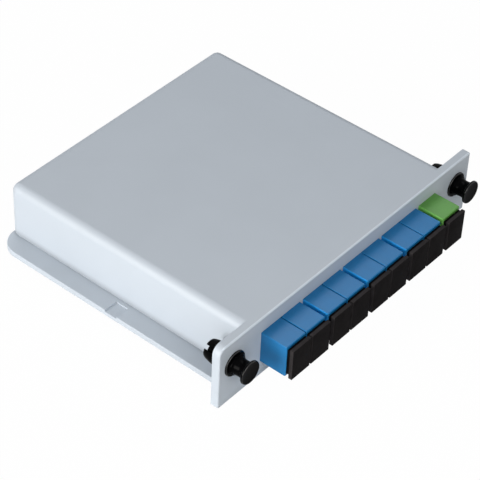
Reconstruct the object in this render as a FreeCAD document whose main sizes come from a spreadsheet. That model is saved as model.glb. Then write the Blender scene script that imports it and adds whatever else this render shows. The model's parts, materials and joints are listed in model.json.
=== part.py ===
import FreeCAD, Part
import math
import os
import re
import Sketcher

# Plug-in PLC splitter cassette, 1 x 8, with SC ports.
# Millimetres. X runs along the front panel, +Y to the rear, +Z up.
# The origin is the centre of the base tray's underside.

PORTS = 9                 # eight outputs and, at the right-hand end, the input
OUTPUTS = PORTS - 1

SIZES = {
    # housing
    "depth": (102.3, "front face of the panel to the back of the box"),
    "box_width": (104.1, "outside width of the box"),
    "box_height": (22.95, "underside of the tray to the top of the box"),
    "wall": (1.8, "thickness of the side, rear and top walls"),
    "corner_radius": (2.9, "upright rear corners of the box"),
    "top_radius": (2.9, "soft edge round the top of the box"),
    "seam_bevel": (0.35, "bevel of the box's lower edge over the tray"),
    "panel_width": (130.0, "front panel"),
    "panel_drop": (1.7, "panel below the underside of the tray"),
    "panel_thickness": (3.0, "front panel"),
    "panel_round": (3.2, "rounded top left-hand corner of the panel"),
    "panel_corner": (0.6, "other corners of the panel"),
    "panel_edge": (0.45, "broken edge round the front of the panel"),
    # base tray
    "tray_width": (117.8, "over the two side rails"),
    "tray_thickness": (2.0, "floor and rails"),
    "rail_corner": (8.0, "rear corners of the rails"),
    "rail_edge": (0.3, "broken top edge of the rails"),
    "notch_from_front": (50.8, "panel front to the middle of the rail recess"),
    "notch_length": (5.1, "rail recess along the rail"),
    "notch_reach": (5.5, "rail recess across the rail"),
    "notch_depth": (0.6, "rail recess"),
    "lip_height": (3.0, "locating lip above the floor"),
    "lip_wall": (1.2, "locating lip"),
    "lip_clearance": (0.15, "locating lip to the box wall"),
    "boss_radius": (2.6, "screw bosses of the box"),
    "boss_inset": (5.9, "screw axis in from the outside of the box"),
    "boss_from_panel": (42.7, "front screw axis behind the panel's front"),
    "boss_from_rear": (5.9, "rear screw axis in from the back of the box"),
    "screw_core": (1.1, "screw shank radius, and pilot hole"),
    "screw_length": (9.0, "under the head"),
    "screw_head": (2.4, "head radius"),
    "screw_head_height": (1.0, "pan head"),
    "screw_slot": (0.6, "width of the cross in the head"),
    "screw_clearance": (0.25, "round the shank and the head in the tray"),
    # ports
    "port_rise": (0.15, "ports above the middle of the panel"),
    "adapter_width": (9.3, "SC adapter, across the row"),
    "adapter_height": (12.4, "SC adapter"),
    "adapter_length": (28.2, "SC adapter, front to back"),
    "adapter_reach": (10.05, "SC adapter in front of the panel"),
    "adapter_edge": (0.3, "soft long edges of the adapter"),
    "adapter_rim": (0.25, "bevel round the adapter's front"),
    "row_offset": (0.2, "middle of the row to the middle of the panel"),
    "twin_gap": (0.3, "between the two adapters of one window"),
    "window_gap": (1.5, "between adapters of neighbouring windows"),
    "window_clearance": (0.05, "adapter to the edge of its window"),
    "socket_width": (7.5, "plug cavity, across the row"),
    "socket_height": (9.1, "plug cavity"),
    "key_width": (2.3, "key slot"),
    "key_depth": (0.5, "key slot into the side wall"),
    "web": (1.2, "wall between the two cavities"),
    "stop_rise": (1.0, "stop rib above and below the adapter"),
    "stop_thickness": (1.2, "stop rib behind the panel"),
    "keeper": (1.5, "keeper rib behind the stop ribs"),
    "keeper_clearance": (0.1, "keeper rib to the stop rib"),
    "keeper_overlap": (0.75, "keeper rib over the stop rib"),
    # adapter inserts, sleeves and inner connectors
    "holder_radius": (2.6, "sleeve holder of the insert"),
    "holder_wall": (0.85, "sleeve holder of the insert"),
    "holder_length": (12.4, "sleeve holder of the insert"),
    "insert_plate": (0.8, "plate of the insert"),
    "insert_clearance": (0.05, "plate of the insert to the cavity"),
    "hook_length": (8.0, "latch arm of the insert"),
    "hook_thickness": (0.7, "latch arm of the insert"),
    "hook_width": (2.2, "latch arm of the insert"),
    "hook_height": (3.1, "middle of the latch arm from the port's axis"),
    "sleeve_clearance": (0.05, "sleeve to its holder"),
    "sleeve_length": (11.4, "alignment sleeve"),
    "sleeve_slit": (0.4, "slit along the alignment sleeve"),
    "ferrule_radius": (1.25, "ferrule"),
    "ferrule_length": (10.5, "ferrule"),
    "ferrule_fit": (0.01, "ferrule to the sleeve"),
    "connector_clearance": (0.1, "connector to the cavity, each side"),
    "connector_start": (1.4, "middle of the adapter to the connector's nose"),
    "connector_length": (15.5, "connector body"),
    "connector_bore": (2.9, "mouth of the connector round the sleeve holder"),
    "connector_bore_depth": (6.0, "mouth of the connector"),
    "boot_radius": (2.3, "strain relief at the connector"),
    "boot_tip": (1.3, "strain relief at its end"),
    "boot_length": (9.0, "strain relief"),
    # dust caps
    "cap_width": (9.3, "face plate of the cap"),
    "cap_height": (12.4, "face plate of the cap"),
    "cap_plate": (1.35, "face plate of the cap"),
    "cap_bevel": (0.25, "bevel round the face plate"),
    "cap_round": (0.25, "corners of the face plate inside its bevel"),
    "cap_rise": (0.2, "face plate above the port's axis"),
    "cap_gap": (1.15, "face plate to the adapter"),
    "cap_shoulder": (0.45, "shoulder of the plug over the cavity"),
    "plug_clearance": (0.1, "plug of the cap to the cavity, each side"),
    "plug_wall": (0.9, "plug of the cap"),
    "plug_depth": (6.3, "plug of the cap inside the cavity"),
    # latches
    "latch_offset": (5.85, "from the box's side to the latch's axis"),
    "latch_height": (13.2, "latch axis above the underside of the tray"),
    "latch_bore": (3.8, "hole in the panel"),
    "grommet_fit": (0.05, "grommet barrel to the hole in the panel"),
    "grommet_flange": (4.6, "collar radius on the panel's front"),
    "grommet_collar": (0.6, "collar thickness"),
    "leg_radius": (4.05, "split legs behind the panel"),
    "leg_cylinder": (3.2, "straight stretch of the legs"),
    "leg_tip": (3.1, "radius at the end of the legs"),
    "leg_length": (7.0, "legs behind the panel"),
    "leg_slit": (0.9, "slits between the legs"),
    "guide_radius": (1.95, "bore that guides the plunger"),
    "guide_length": (2.4, "bore that guides the plunger"),
    "leg_bore": (2.6, "hollow between the legs"),
    "plunger_fit": (0.08, "plunger to the guide bore"),
    "plunger_rest": (0.1, "plunger flange to the grommet"),
    "plunger_travel": (5.0, "pull of the plunger"),
    "plunger_stop": (0.1, "head to the guide at the end of the pull"),
    "plunger_head": (2.3, "head inside the legs"),
    "plunger_head_length": (2.6, "head inside the legs"),
    "knob_length": (5.9, "knob in front of the grommet"),
    "knob_flange": (3.6, "knob's disc at the panel"),
    "knob_flange_edge": (0.8, "knob's disc at the panel"),
    "knob_waist": (2.5, "knob's waist"),
    "knob_flare": (1.0, "hollow of the waist"),
    "knob_cap": (4.2, "knob's outer disc"),
    "knob_cap_edge": (0.9, "knob's outer disc"),
    "knob_round": (0.45, "rounded rim of the outer disc"),
    # splitter module and fibres
    "module_length": (40.0, "steel tube of the splitter"),
    "module_width": (7.0, "steel tube of the splitter"),
    "module_height": (4.6, "steel tube of the splitter"),
    "module_inset": (0.6, "end boot in from the side of the steel tube"),
    "module_edge": (0.8, "rounded long edges of the steel tube"),
    "module_from_rear": (9.5, "middle of the module in from the back of the box"),
    "module_right": (8.0, "output end of the steel tube from the middle"),
    "module_boot": (4.0, "end boot of the module"),
    "boot_run": (2.0, "straight run of the output fibres from the end boot"),
    "input_run": (0.6, "straight run of the input fibre from the end boot"),
    "cradle_wall": (1.4, "clip that holds the module"),
    "cradle_length": (6.0, "clip that holds the module"),
    "cradle_inset": (9.0, "clip in from the end of the steel tube"),
    "cradle_clearance": (0.1, "clip to the module"),
    "drum_wall": (1.4, "guide drums of the fibre"),
    "drum_height": (11.0, "guide drums above the floor"),
    "drum_clearance": (0.6, "guide drum to the nearest fibre"),
    "lane_radius": (19.0, "innermost output lane, to the fibre's middle"),
    "lane_pitch": (1.2, "between output lanes"),
    "level_pitch": (1.5, "between the two levels of fibres"),
    "input_radius": (11.0, "corners of the input fibre's loop"),
    "fibre_radius": (0.45, "tight-buffered fibre"),
    "port_turn": (10.0, "last bend of a fibre, above its port"),
    "early_turn": (11.0, "bends of the outputs that leave the loop early"),
    "level_turn": (14.0, "bends where a fibre changes its level"),
    "level_start": (7.0, "start of a change of level, before the strain relief"),
    "level_end": (1.5, "end of a change of level, before the strain relief"),
    "early_side_5": (17.4, "corner of output 6 on the side lane, below the loop's centre"),
    "early_port_5": (27.4, "its corner above the port"),
    "early_side_6": (14.4, "the same for output 7"),
    "early_port_6": (26.4, "its corner above the port"),
    "early_side_7": (18.4, "the same for output 8"),
    "early_port_7": (28.4, "its corner above the port"),
    "fibre_entry": (4.0, "fibre inside the strain relief"),
    "boot_bore": (0.5, "bore of the strain relief"),
}

# Places that follow from the sizes, as spreadsheet expressions.
PANEL_FRONT = "(-depth / 2)"
PANEL_BACK = "(-depth / 2 + panel_thickness)"
BOX_REAR = "(depth / 2)"
BOX_SIDE = "(box_width / 2)"
CEILING = "(box_height - wall)"
FLOOR = "tray_thickness"
PORT_HEIGHT = "((box_height - panel_drop) / 2 + port_rise)"
ROW_LENGTH = f"({PORTS} * adapter_width + {PORTS // 2} * (twin_gap + window_gap))"
ROW_LEFT = f"(row_offset - {ROW_LENGTH} / 2)"
ADAPTER_MIDDLE = "(adapter_length / 2 - adapter_reach)"
STOP_EDGE = "(adapter_height / 2 + stop_rise)"
KEEPER_FRONT = f"({PANEL_BACK} + stop_thickness + keeper_clearance)"
BORE_RADIUS = "(holder_radius - holder_wall)"
BOOT_START = f"({ADAPTER_MIDDLE} + connector_start + connector_length)"
MODULE_Y = f"({BOX_REAR} - module_from_rear)"
LANE_CENTRE_X = "(module_right + module_boot + boot_run)"
LANE_MIDDLE_RADIUS = "(lane_radius + 1.5 * lane_pitch)"
LANE_CENTRE_Y = f"({MODULE_Y} - {LANE_MIDDLE_RADIUS})"
INPUT_X = "(module_right - module_length - module_boot - input_run)"
INPUT_LANE_Y = f"({LANE_CENTRE_Y} - lane_radius)"

document = FreeCAD.newDocument("plc_splitter_cassette")
pieces = []


# ---------------------------------------------------------------- sheet
def make_sheet():
    """Put every driving size in the spreadsheet, each with its alias."""
    sheet = document.addObject("Spreadsheet::Sheet", "sizes")
    for row, (alias, (size, meaning)) in enumerate(SIZES.items(), 1):
        sheet.set(f"A{row}", alias)
        sheet.set(f"B{row}", str(size))
        sheet.set(f"C{row}", meaning)
        sheet.setAlias(f"B{row}", alias)
    document.recompute()
    return sheet


def with_sheet(formula):
    """Write a formula of plain aliases as an expression on the sheet."""
    return re.sub(
        r"[a-z][a-z_]+",
        lambda word: "sizes." + word.group() if word.group() in SIZES else word.group(),
        formula,
    )


def value(formula):
    """Number that a formula of aliases has now."""
    return float(sheet.evalExpression(with_sheet(formula)))


def bind(thing, path, formula):
    """Tie one property to a formula of aliases."""
    thing.setExpression(path, with_sheet(formula))


# ---------------------------------------------------------------- features
def new_body(label, x="0", y="0", z="0"):
    """A named piece whose own origin lies at x, y, z."""
    body = document.addObject("PartDesign::Body", label)
    body.Label = label
    for letter, formula in zip("xyz", (x, y, z)):
        bind(body, f"Placement.Base.{letter}", formula)
    pieces.append(body)
    return body


def sketch_on(body, name, role, level="0"):
    """A sketch on one of the body's origin planes, moved to a level along its axis.

    The level is a height for XY_Plane, a depth along +Y for XZ_Plane and a place
    along +X for YZ_Plane. XZ_Plane faces -Y, so its offset has the other sign.
    """
    sketch = body.newObject("Sketcher::SketchObject", name)
    support = next(item for item in body.Origin.OriginFeatures if item.Role == role)
    sketch.AttachmentSupport = (support, [""])
    sketch.MapMode = "FlatFace"
    sign = "-" if role == "XZ_Plane" else ""
    bind(sketch, "AttachmentOffset.Base.z", f"{sign}({level})")
    return sketch


def constrain(sketch, kind, place, formula):
    """Add one dimension and tie it to its formula."""
    index = sketch.addConstraint(Sketcher.Constraint(kind, *place, value(formula)))
    name = f"size_{index}"
    sketch.renameConstraint(index, name)
    bind(sketch, f"Constraints.{name}", formula)


def fix_point(sketch, geometry, point, x, y):
    """Hold one point of a sketch at x, y from the sketch's origin."""
    constrain(sketch, "DistanceX", (-1, 1, geometry, point), x)
    constrain(sketch, "DistanceY", (-1, 1, geometry, point), y)


def arc_between(start, end, radius, turn):
    """Arc from start to end; turn is +1 for counter-clockwise, -1 for clockwise."""
    chord = end - start
    half = chord.Length / 2
    rise = math.sqrt(max(radius * radius - half * half, 0.0))
    across = FreeCAD.Vector(-chord.y, chord.x, 0).normalize()
    centre = (start + end) / 2 + across * rise * turn
    bulge = centre - across * radius * turn
    return Part.Arc(start, bulge, end)


def outline(sketch, corners):
    """Draw a closed outline through corners held by formulas.

    A corner is (x, y), or (x, y, radius, turn) where an arc leads to the next one.
    """
    spots = [FreeCAD.Vector(value(corner[0]), value(corner[1]), 0) for corner in corners]
    first = sketch.GeometryCount
    joints = []
    for index, corner in enumerate(corners):
        start = spots[index]
        end = spots[(index + 1) % len(spots)]
        if len(corner) == 2:
            sketch.addGeometry(Part.LineSegment(start, end), False)
            joints.append((1, 2))
        else:
            sketch.addGeometry(arc_between(start, end, value(corner[2]), corner[3]), False)
            joints.append((1, 2) if corner[3] > 0 else (2, 1))
    for index, corner in enumerate(corners):
        follower = (index + 1) % len(corners)
        sketch.addConstraint(
            Sketcher.Constraint(
                "Coincident", first + index, joints[index][1], first + follower, joints[follower][0]
            )
        )
    for index, corner in enumerate(corners):
        fix_point(sketch, first + index, joints[index][0], corner[0], corner[1])
        if len(corner) > 2:
            constrain(sketch, "Radius", (first + index,), corner[2])
    return sketch


def rectangle(sketch, left, right, low, high):
    """Draw a rectangle between four formulas."""
    return outline(sketch, [(left, low), (right, low), (right, high), (left, high)])


def centred_rectangle(sketch, width, height, middle_y="0"):
    """Draw a rectangle about the sketch's vertical axis."""
    return rectangle(
        sketch,
        f"-({width}) / 2",
        f"({width}) / 2",
        f"{middle_y} - ({height}) / 2",
        f"{middle_y} + ({height}) / 2",
    )


def circle(sketch, x, y, radius):
    """Draw a circle held by three formulas."""
    middle = FreeCAD.Vector(value(x), value(y), 0)
    index = sketch.addGeometry(Part.Circle(middle, FreeCAD.Vector(0, 0, 1), value(radius)), False)
    fix_point(sketch, index, 3, x, y)
    constrain(sketch, "Radius", (index,), radius)
    return sketch


def pad(body, sketch, length, reverse=False):
    """Pad a sketch along its normal, or against it."""
    feature = body.newObject("PartDesign::Pad", sketch.Name + "_pad")
    feature.Profile = sketch
    feature.Reversed = reverse
    bind(feature, "Length", length)
    sketch.Visibility = False
    return feature


def pocket(body, sketch, depth, reverse=False):
    """Cut a sketch against its normal, or along it."""
    feature = body.newObject("PartDesign::Pocket", sketch.Name + "_pocket")
    feature.Profile = sketch
    feature.Reversed = reverse
    bind(feature, "Length", depth)
    sketch.Visibility = False
    return feature


def revolve(body, sketch):
    """Turn a sketch about its own vertical axis."""
    feature = body.newObject("PartDesign::Revolution", sketch.Name + "_turned")
    feature.Profile = sketch
    feature.ReferenceAxis = (sketch, ["V_Axis"])
    feature.Angle = 360
    sketch.Visibility = False
    return feature


def edges_of(feature, chosen):
    """Names of the edges of a feature that a test picks."""
    document.recompute()
    return [f"Edge{index}" for index, edge in enumerate(feature.Shape.Edges, 1) if chosen(edge)]


def fillet(body, base, radius, chosen):
    """Round the chosen edges of the last feature."""
    feature = body.newObject("PartDesign::Fillet", base.Name + "_round")
    feature.Base = (base, edges_of(base, chosen))
    bind(feature, "Radius", radius)
    return feature


def chamfer(body, base, size, chosen):
    """Bevel the chosen edges of the last feature."""
    feature = body.newObject("PartDesign::Chamfer", base.Name + "_bevel")
    feature.Base = (base, edges_of(base, chosen))
    bind(feature, "Size", size)
    return feature


def lies_at(edge, **places):
    """Whether both ends of an edge lie at the given coordinates."""
    return all(
        abs(getattr(vertex.Point, letter) - value(formula)) < 1e-4
        for letter, formula in places.items()
        for vertex in edge.Vertexes
    )


def runs_along(edge, letter):
    """Whether an edge is straight and runs along one axis."""
    if edge.Degenerated or not isinstance(edge.Curve, (Part.Line, Part.LineSegment)):
        return False
    reach = edge.Vertexes[1].Point - edge.Vertexes[0].Point
    return abs(abs(getattr(reach, letter)) - reach.Length) < 1e-6


# ---------------------------------------------------------------- places of the ports
def port_x(index):
    """Formula for the axis of a port, counted from the left."""
    twins = (index + 1) // 2
    windows = index // 2
    return (
        f"({ROW_LEFT} + {index + 0.5} * adapter_width"
        f" + {twins} * twin_gap + {windows} * window_gap)"
    )


def screw_places():
    """Formulas for the four screw axes."""
    across = f"({BOX_SIDE} - boss_inset)"
    front = f"({PANEL_FRONT} + boss_from_panel)"
    rear = f"({BOX_REAR} - boss_from_rear)"
    return [(f"{side}{across}", along) for side in ("-", "") for along in (front, rear)]


# ---------------------------------------------------------------- housing
def build_shell():
    """Box and front panel, moulded as one, open below."""
    body = new_body("housing_shell")
    plan = sketch_on(body, "box_plan", "XY_Plane", FLOOR)
    rectangle(plan, f"-{BOX_SIDE}", BOX_SIDE, PANEL_FRONT, BOX_REAR)
    box = pad(body, plan, f"box_height - {FLOOR}")
    upright = fillet(
        body, box, "corner_radius",
        lambda edge: runs_along(edge, "z") and lies_at(edge, y=BOX_REAR),
    )
    soft = fillet(
        body, upright, "top_radius",
        lambda edge: lies_at(edge, z="box_height") and not lies_at(edge, y=PANEL_FRONT),
    )
    chamfer(
        body, soft, "seam_bevel",
        lambda edge: lies_at(edge, z=FLOOR) and not lies_at(edge, y=PANEL_FRONT),
    )
    face = sketch_on(body, "panel_face", "XZ_Plane", PANEL_FRONT)
    rectangle(face, "-panel_width / 2", "panel_width / 2", "-panel_drop", "box_height")
    panel = pad(body, face, "panel_thickness", reverse=True)
    round_corner = fillet(
        body, panel, "panel_round",
        lambda edge: runs_along(edge, "y") and lies_at(edge, x="-panel_width / 2", z="box_height"),
    )
    corners = fillet(
        body, round_corner, "panel_corner",
        lambda edge: runs_along(edge, "y")
        and (
            lies_at(edge, z="-panel_drop")
            or lies_at(edge, x="panel_width / 2", z="box_height")
        ),
    )
    fillet(
        body, corners, "panel_edge",
        lambda edge: lies_at(edge, y=PANEL_FRONT) and not lies_at(edge, z="-panel_drop"),
    )

    inside = sketch_on(body, "cavity_plan", "XY_Plane", FLOOR)
    rectangle(inside, f"-{BOX_SIDE} + wall", f"{BOX_SIDE} - wall", PANEL_BACK, f"{BOX_REAR} - wall")
    pocket(body, inside, f"{CEILING} - {FLOOR}", reverse=True)

    cut_windows(body)
    holes = sketch_on(body, "latch_holes", "XZ_Plane", PANEL_FRONT)
    for side in ("-", ""):
        circle(holes, f"{side}(box_width / 2 + latch_offset)", "latch_height", "latch_bore")
    pocket(body, holes, "panel_thickness")

    keeper = sketch_on(body, "top_keeper", "XY_Plane", f"{PORT_HEIGHT} + {STOP_EDGE} - keeper_overlap")
    rectangle(
        keeper, f"-{BOX_SIDE} + wall", f"{BOX_SIDE} - wall", KEEPER_FRONT, f"{KEEPER_FRONT} + keeper"
    )
    pad(body, keeper, f"{CEILING} - {PORT_HEIGHT} - {STOP_EDGE} + keeper_overlap")

    posts = sketch_on(body, "screw_bosses", "XY_Plane", FLOOR)
    for x, y in screw_places():
        circle(posts, x, y, "boss_radius")
    pad(body, posts, f"{CEILING} - {FLOOR}")
    pilots = sketch_on(body, "pilot_holes", "XY_Plane", FLOOR)
    for x, y in screw_places():
        circle(pilots, x, y, "screw_core")
    pocket(body, pilots, "screw_length", reverse=True)


def cut_windows(body):
    """One window for each two adapters, and one for the last adapter."""
    windows = sketch_on(body, "windows", "XZ_Plane", PANEL_FRONT)
    for first in range(0, PORTS, 2):
        last = min(first + 1, PORTS - 1)
        rectangle(
            windows,
            f"{port_x(first)} - adapter_width / 2 - window_clearance",
            f"{port_x(last)} + adapter_width / 2 + window_clearance",
            f"{PORT_HEIGHT} - adapter_height / 2 - window_clearance",
            f"{PORT_HEIGHT} + adapter_height / 2 + window_clearance",
        )
    pocket(body, windows, "panel_thickness")


def build_tray():
    """Base tray with side rails, keeper rib, guide drums and module clips."""
    body = new_body("base_tray")
    plan = sketch_on(body, "tray_plan", "XY_Plane")
    rectangle(plan, "-tray_width / 2", "tray_width / 2", PANEL_BACK, BOX_REAR)
    plate = pad(body, plan, "tray_thickness")
    rounded = fillet(
        body, plate, "rail_corner",
        lambda edge: runs_along(edge, "z") and lies_at(edge, y=BOX_REAR),
    )
    fillet(
        body, rounded, "rail_edge",
        lambda edge: lies_at(edge, z="tray_thickness") and not lies_at(edge, y=PANEL_BACK),
    )
    recess = sketch_on(body, "rail_recesses", "XY_Plane", "tray_thickness")
    low = f"{PANEL_FRONT} + notch_from_front - notch_length / 2"
    for inner, outer in (("-tray_width / 2 + notch_reach", "-tray_width / 2 - 1"),
                         ("tray_width / 2 - notch_reach", "tray_width / 2 + 1")):
        rectangle(recess, inner, outer, low, f"{low} + notch_length")
    pocket(body, recess, "notch_depth")

    lip = sketch_on(body, "locating_lip", "XY_Plane", "tray_thickness")
    outer_side = f"({BOX_SIDE} - wall - lip_clearance)"
    outer_rear = f"({BOX_REAR} - wall - lip_clearance)"
    lip_front = f"({KEEPER_FRONT} + keeper + 6)"
    outline(lip, [
        (f"-{outer_side}", lip_front),
        (f"-{outer_side} + lip_wall", lip_front),
        (f"-{outer_side} + lip_wall", f"{outer_rear} - lip_wall"),
        (f"{outer_side} - lip_wall", f"{outer_rear} - lip_wall"),
        (f"{outer_side} - lip_wall", lip_front),
        (outer_side, lip_front),
        (outer_side, outer_rear),
        (f"-{outer_side}", outer_rear),
    ])
    pad(body, lip, "lip_height")

    keeper = sketch_on(body, "bottom_keeper", "XY_Plane", "tray_thickness")
    rectangle(keeper, f"-{outer_side}", outer_side, KEEPER_FRONT, f"{KEEPER_FRONT} + keeper")
    pad(body, keeper, f"{PORT_HEIGHT} - {STOP_EDGE} + keeper_overlap - tray_thickness")
    add_drum(body, "output_drum", LANE_CENTRE_X, LANE_CENTRE_Y,
             "(lane_radius - fibre_radius - drum_clearance)")
    add_drum(body, "input_drum", INPUT_X, f"({INPUT_LANE_Y} + input_radius)",
             "(input_radius - fibre_radius - drum_clearance)")
    add_clips(body)

    shafts = sketch_on(body, "screw_holes", "XY_Plane")
    for x, y in screw_places():
        circle(shafts, x, y, "screw_core + screw_clearance")
    pocket(body, shafts, "tray_thickness", reverse=True)
    heads = sketch_on(body, "screw_recesses", "XY_Plane")
    for x, y in screw_places():
        circle(heads, x, y, "screw_head + screw_clearance")
    pocket(body, heads, "screw_head_height", reverse=True)


def add_drum(body, name, x, y, radius):
    """A thin round wall that the fibre bends round."""
    ring = sketch_on(body, name, "XY_Plane", "tray_thickness")
    circle(ring, x, y, radius)
    circle(ring, x, y, f"{radius} - drum_wall")
    pad(body, ring, "drum_height")


def add_clips(body):
    """Two clips that cradle the splitter module."""
    clips = sketch_on(body, "module_clips", "XY_Plane", "tray_thickness")
    for end in (f"(module_right - cradle_inset)",
                f"(module_right - module_length + cradle_inset + cradle_length)"):
        for side in ("-1", "1"):
            near = f"{MODULE_Y} + {side} * (module_width / 2 + cradle_clearance)"
            far = f"{MODULE_Y} + {side} * (module_width / 2 + cradle_clearance + cradle_wall)"
            rectangle(clips, f"{end} - cradle_length", end, near, far)
        rectangle(
            clips, f"{end} - cradle_length", end,
            f"{MODULE_Y} - module_width / 2 + 1", f"{MODULE_Y} + module_width / 2 - 1",
        )
    pad(body, clips, f"{PORT_HEIGHT} - module_height / 2 - tray_thickness")
    cheeks = sketch_on(body, "clip_cheeks", "XY_Plane", f"{PORT_HEIGHT} - module_height / 2")
    for end in (f"(module_right - cradle_inset)",
                f"(module_right - module_length + cradle_inset + cradle_length)"):
        for side in ("-1", "1"):
            near = f"{MODULE_Y} + {side} * (module_width / 2 + cradle_clearance)"
            far = f"{MODULE_Y} + {side} * (module_width / 2 + cradle_clearance + cradle_wall)"
            rectangle(cheeks, f"{end} - cradle_length", end, near, far)
    pad(body, cheeks, "module_height")


def build_screws():
    """Four pan-head screws that hold the tray to the box, in one node."""
    screws = []
    for index, (x, y) in enumerate(screw_places()):
        body = document.addObject("PartDesign::Body", f"screw_{index + 1}")
        for letter, formula in zip("xyz", (x, y, "0")):
            bind(body, f"Placement.Base.{letter}", formula)
        side = sketch_on(body, f"screw_side_{index + 1}", "XZ_Plane")
        outline(side, [
            ("0", "0.05"),
            ("screw_head", "0.05"),
            ("screw_head", "screw_head_height"),
            ("screw_core", "screw_head_height"),
            ("screw_core", f"{FLOOR} + screw_length - 1.2"),
            ("0", f"{FLOOR} + screw_length - 0.2"),
        ])
        revolve(body, side)
        cross = sketch_on(body, f"screw_cross_{index + 1}", "XY_Plane")
        cross_outline(cross, "screw_slot / 2", "screw_head * 0.6")
        pocket(body, cross, "screw_head_height * 0.6", reverse=True)
        screws.append(body)
    group = document.addObject("Part::Compound", "base_screws")
    group.Links = screws
    group.Label = "base_screws"
    pieces.append(group)


def cross_outline(sketch, half, reach):
    """Draw a cross about the sketch's origin."""
    outline(sketch, [
        (f"-({half})", f"-({reach})"), (half, f"-({reach})"), (half, f"-({half})"),
        (reach, f"-({half})"), (reach, half), (half, half),
        (half, reach), (f"-({half})", reach), (f"-({half})", half),
        (f"-({reach})", half), (f"-({reach})", f"-({half})"), (f"-({half})", f"-({half})"),
    ])


# ---------------------------------------------------------------- ports
def at_port(label, index):
    """A piece whose own origin is the port's axis at the panel's front face."""
    return new_body(label, port_x(index), PANEL_FRONT, PORT_HEIGHT)


def build_adapter(index):
    """SC adapter body: a square tube with a cavity at each end and stop ribs."""
    body = at_port(f"adapter_{index + 1}", index)
    tag = index + 1
    section = sketch_on(body, f"adapter_section_{tag}", "XZ_Plane", "-adapter_reach")
    centred_rectangle(section, "adapter_width", "adapter_height")
    block = pad(body, section, "adapter_length", reverse=True)
    long_edges = fillet(body, block, "adapter_edge", lambda edge: runs_along(edge, "y"))
    chamfer(body, long_edges, "adapter_rim", lambda edge: lies_at(edge, y="-adapter_reach"))
    stop = sketch_on(body, f"adapter_stop_{tag}", "XZ_Plane", "panel_thickness")
    centred_rectangle(stop, "adapter_width", f"2 * {STOP_EDGE}")
    pad(body, stop, "stop_thickness", reverse=True)
    cavity_depth = "(adapter_length - web) / 2"
    front = sketch_on(body, f"front_cavity_{tag}", "XZ_Plane", "-adapter_reach")
    cavity_outline(front)
    pocket(body, front, cavity_depth)
    rear = sketch_on(body, f"rear_cavity_{tag}", "XZ_Plane", "adapter_length - adapter_reach")
    cavity_outline(rear)
    pocket(body, rear, cavity_depth, reverse=True)
    middle = sketch_on(body, f"web_hole_{tag}", "XZ_Plane", f"{ADAPTER_MIDDLE} - web / 2")
    circle(middle, "0", "0", "holder_radius + insert_clearance")
    pocket(body, middle, "web")
    slot = sketch_on(body, f"arm_slot_{tag}", "XZ_Plane", f"{ADAPTER_MIDDLE} - web / 2")
    centred_rectangle(
        slot,
        "hook_width + 2 * insert_clearance",
        "2 * hook_height + hook_thickness + 2 * insert_clearance",
    )
    pocket(body, slot, "web")


def cavity_outline(sketch):
    """Plug cavity with its key slot on the right."""
    side = "socket_width / 2"
    top = "socket_height / 2"
    key = "key_width / 2"
    outline(sketch, [
        (f"-{side}", f"-{top}"), (side, f"-{top}"), (side, f"-{key}"),
        (f"{side} + key_depth", f"-{key}"), (f"{side} + key_depth", key),
        (side, key), (side, top), (f"-{side}", top),
    ])


def build_insert(index):
    """Insert of the adapter: sleeve holder, plate and two pairs of latch arms."""
    body = at_port(f"adapter_insert_{index + 1}", index)
    tag = index + 1
    tube = sketch_on(body, f"holder_{tag}", "XZ_Plane", f"{ADAPTER_MIDDLE} - holder_length / 2")
    circle(tube, "0", "0", "holder_radius")
    circle(tube, "0", "0", BORE_RADIUS)
    pad(body, tube, "holder_length", reverse=True)
    plate = sketch_on(body, f"insert_plate_{tag}", "XZ_Plane", f"{ADAPTER_MIDDLE} + web / 2")
    centred_rectangle(
        plate, "socket_width - 2 * insert_clearance", "socket_height - 2 * insert_clearance"
    )
    circle(plate, "0", "0", BORE_RADIUS)
    pad(body, plate, "insert_plate", reverse=True)
    arms = sketch_on(
        body, f"latch_arms_{tag}", "XZ_Plane", f"{ADAPTER_MIDDLE} - web / 2 - hook_length"
    )
    for side in ("-1", "1"):
        rectangle(
            arms, "-hook_width / 2", "hook_width / 2",
            f"{side} * hook_height - hook_thickness / 2",
            f"{side} * hook_height + hook_thickness / 2",
        )
    pad(body, arms, "2 * hook_length + web", reverse=True)


def build_sleeves():
    """Nine slit ceramic sleeves that line the ferrules up, in one node."""
    sleeves = []
    for index in range(PORTS):
        body = document.addObject("PartDesign::Body", f"sleeve_{index + 1}")
        for letter, formula in zip("xyz", (port_x(index), PANEL_FRONT, PORT_HEIGHT)):
            bind(body, f"Placement.Base.{letter}", formula)
        start = f"{ADAPTER_MIDDLE} - sleeve_length / 2"
        ring = sketch_on(body, f"sleeve_ring_{index + 1}", "XZ_Plane", start)
        circle(ring, "0", "0", f"{BORE_RADIUS} - sleeve_clearance")
        circle(ring, "0", "0", "ferrule_radius + ferrule_fit")
        pad(body, ring, "sleeve_length", reverse=True)
        slit = sketch_on(body, f"sleeve_slit_{index + 1}", "XZ_Plane", start)
        rectangle(slit, "-sleeve_slit / 2", "sleeve_slit / 2", "0", "holder_radius")
        pocket(body, slit, "sleeve_length")
        sleeves.append(body)
    group_node("alignment_sleeves", sleeves)


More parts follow.
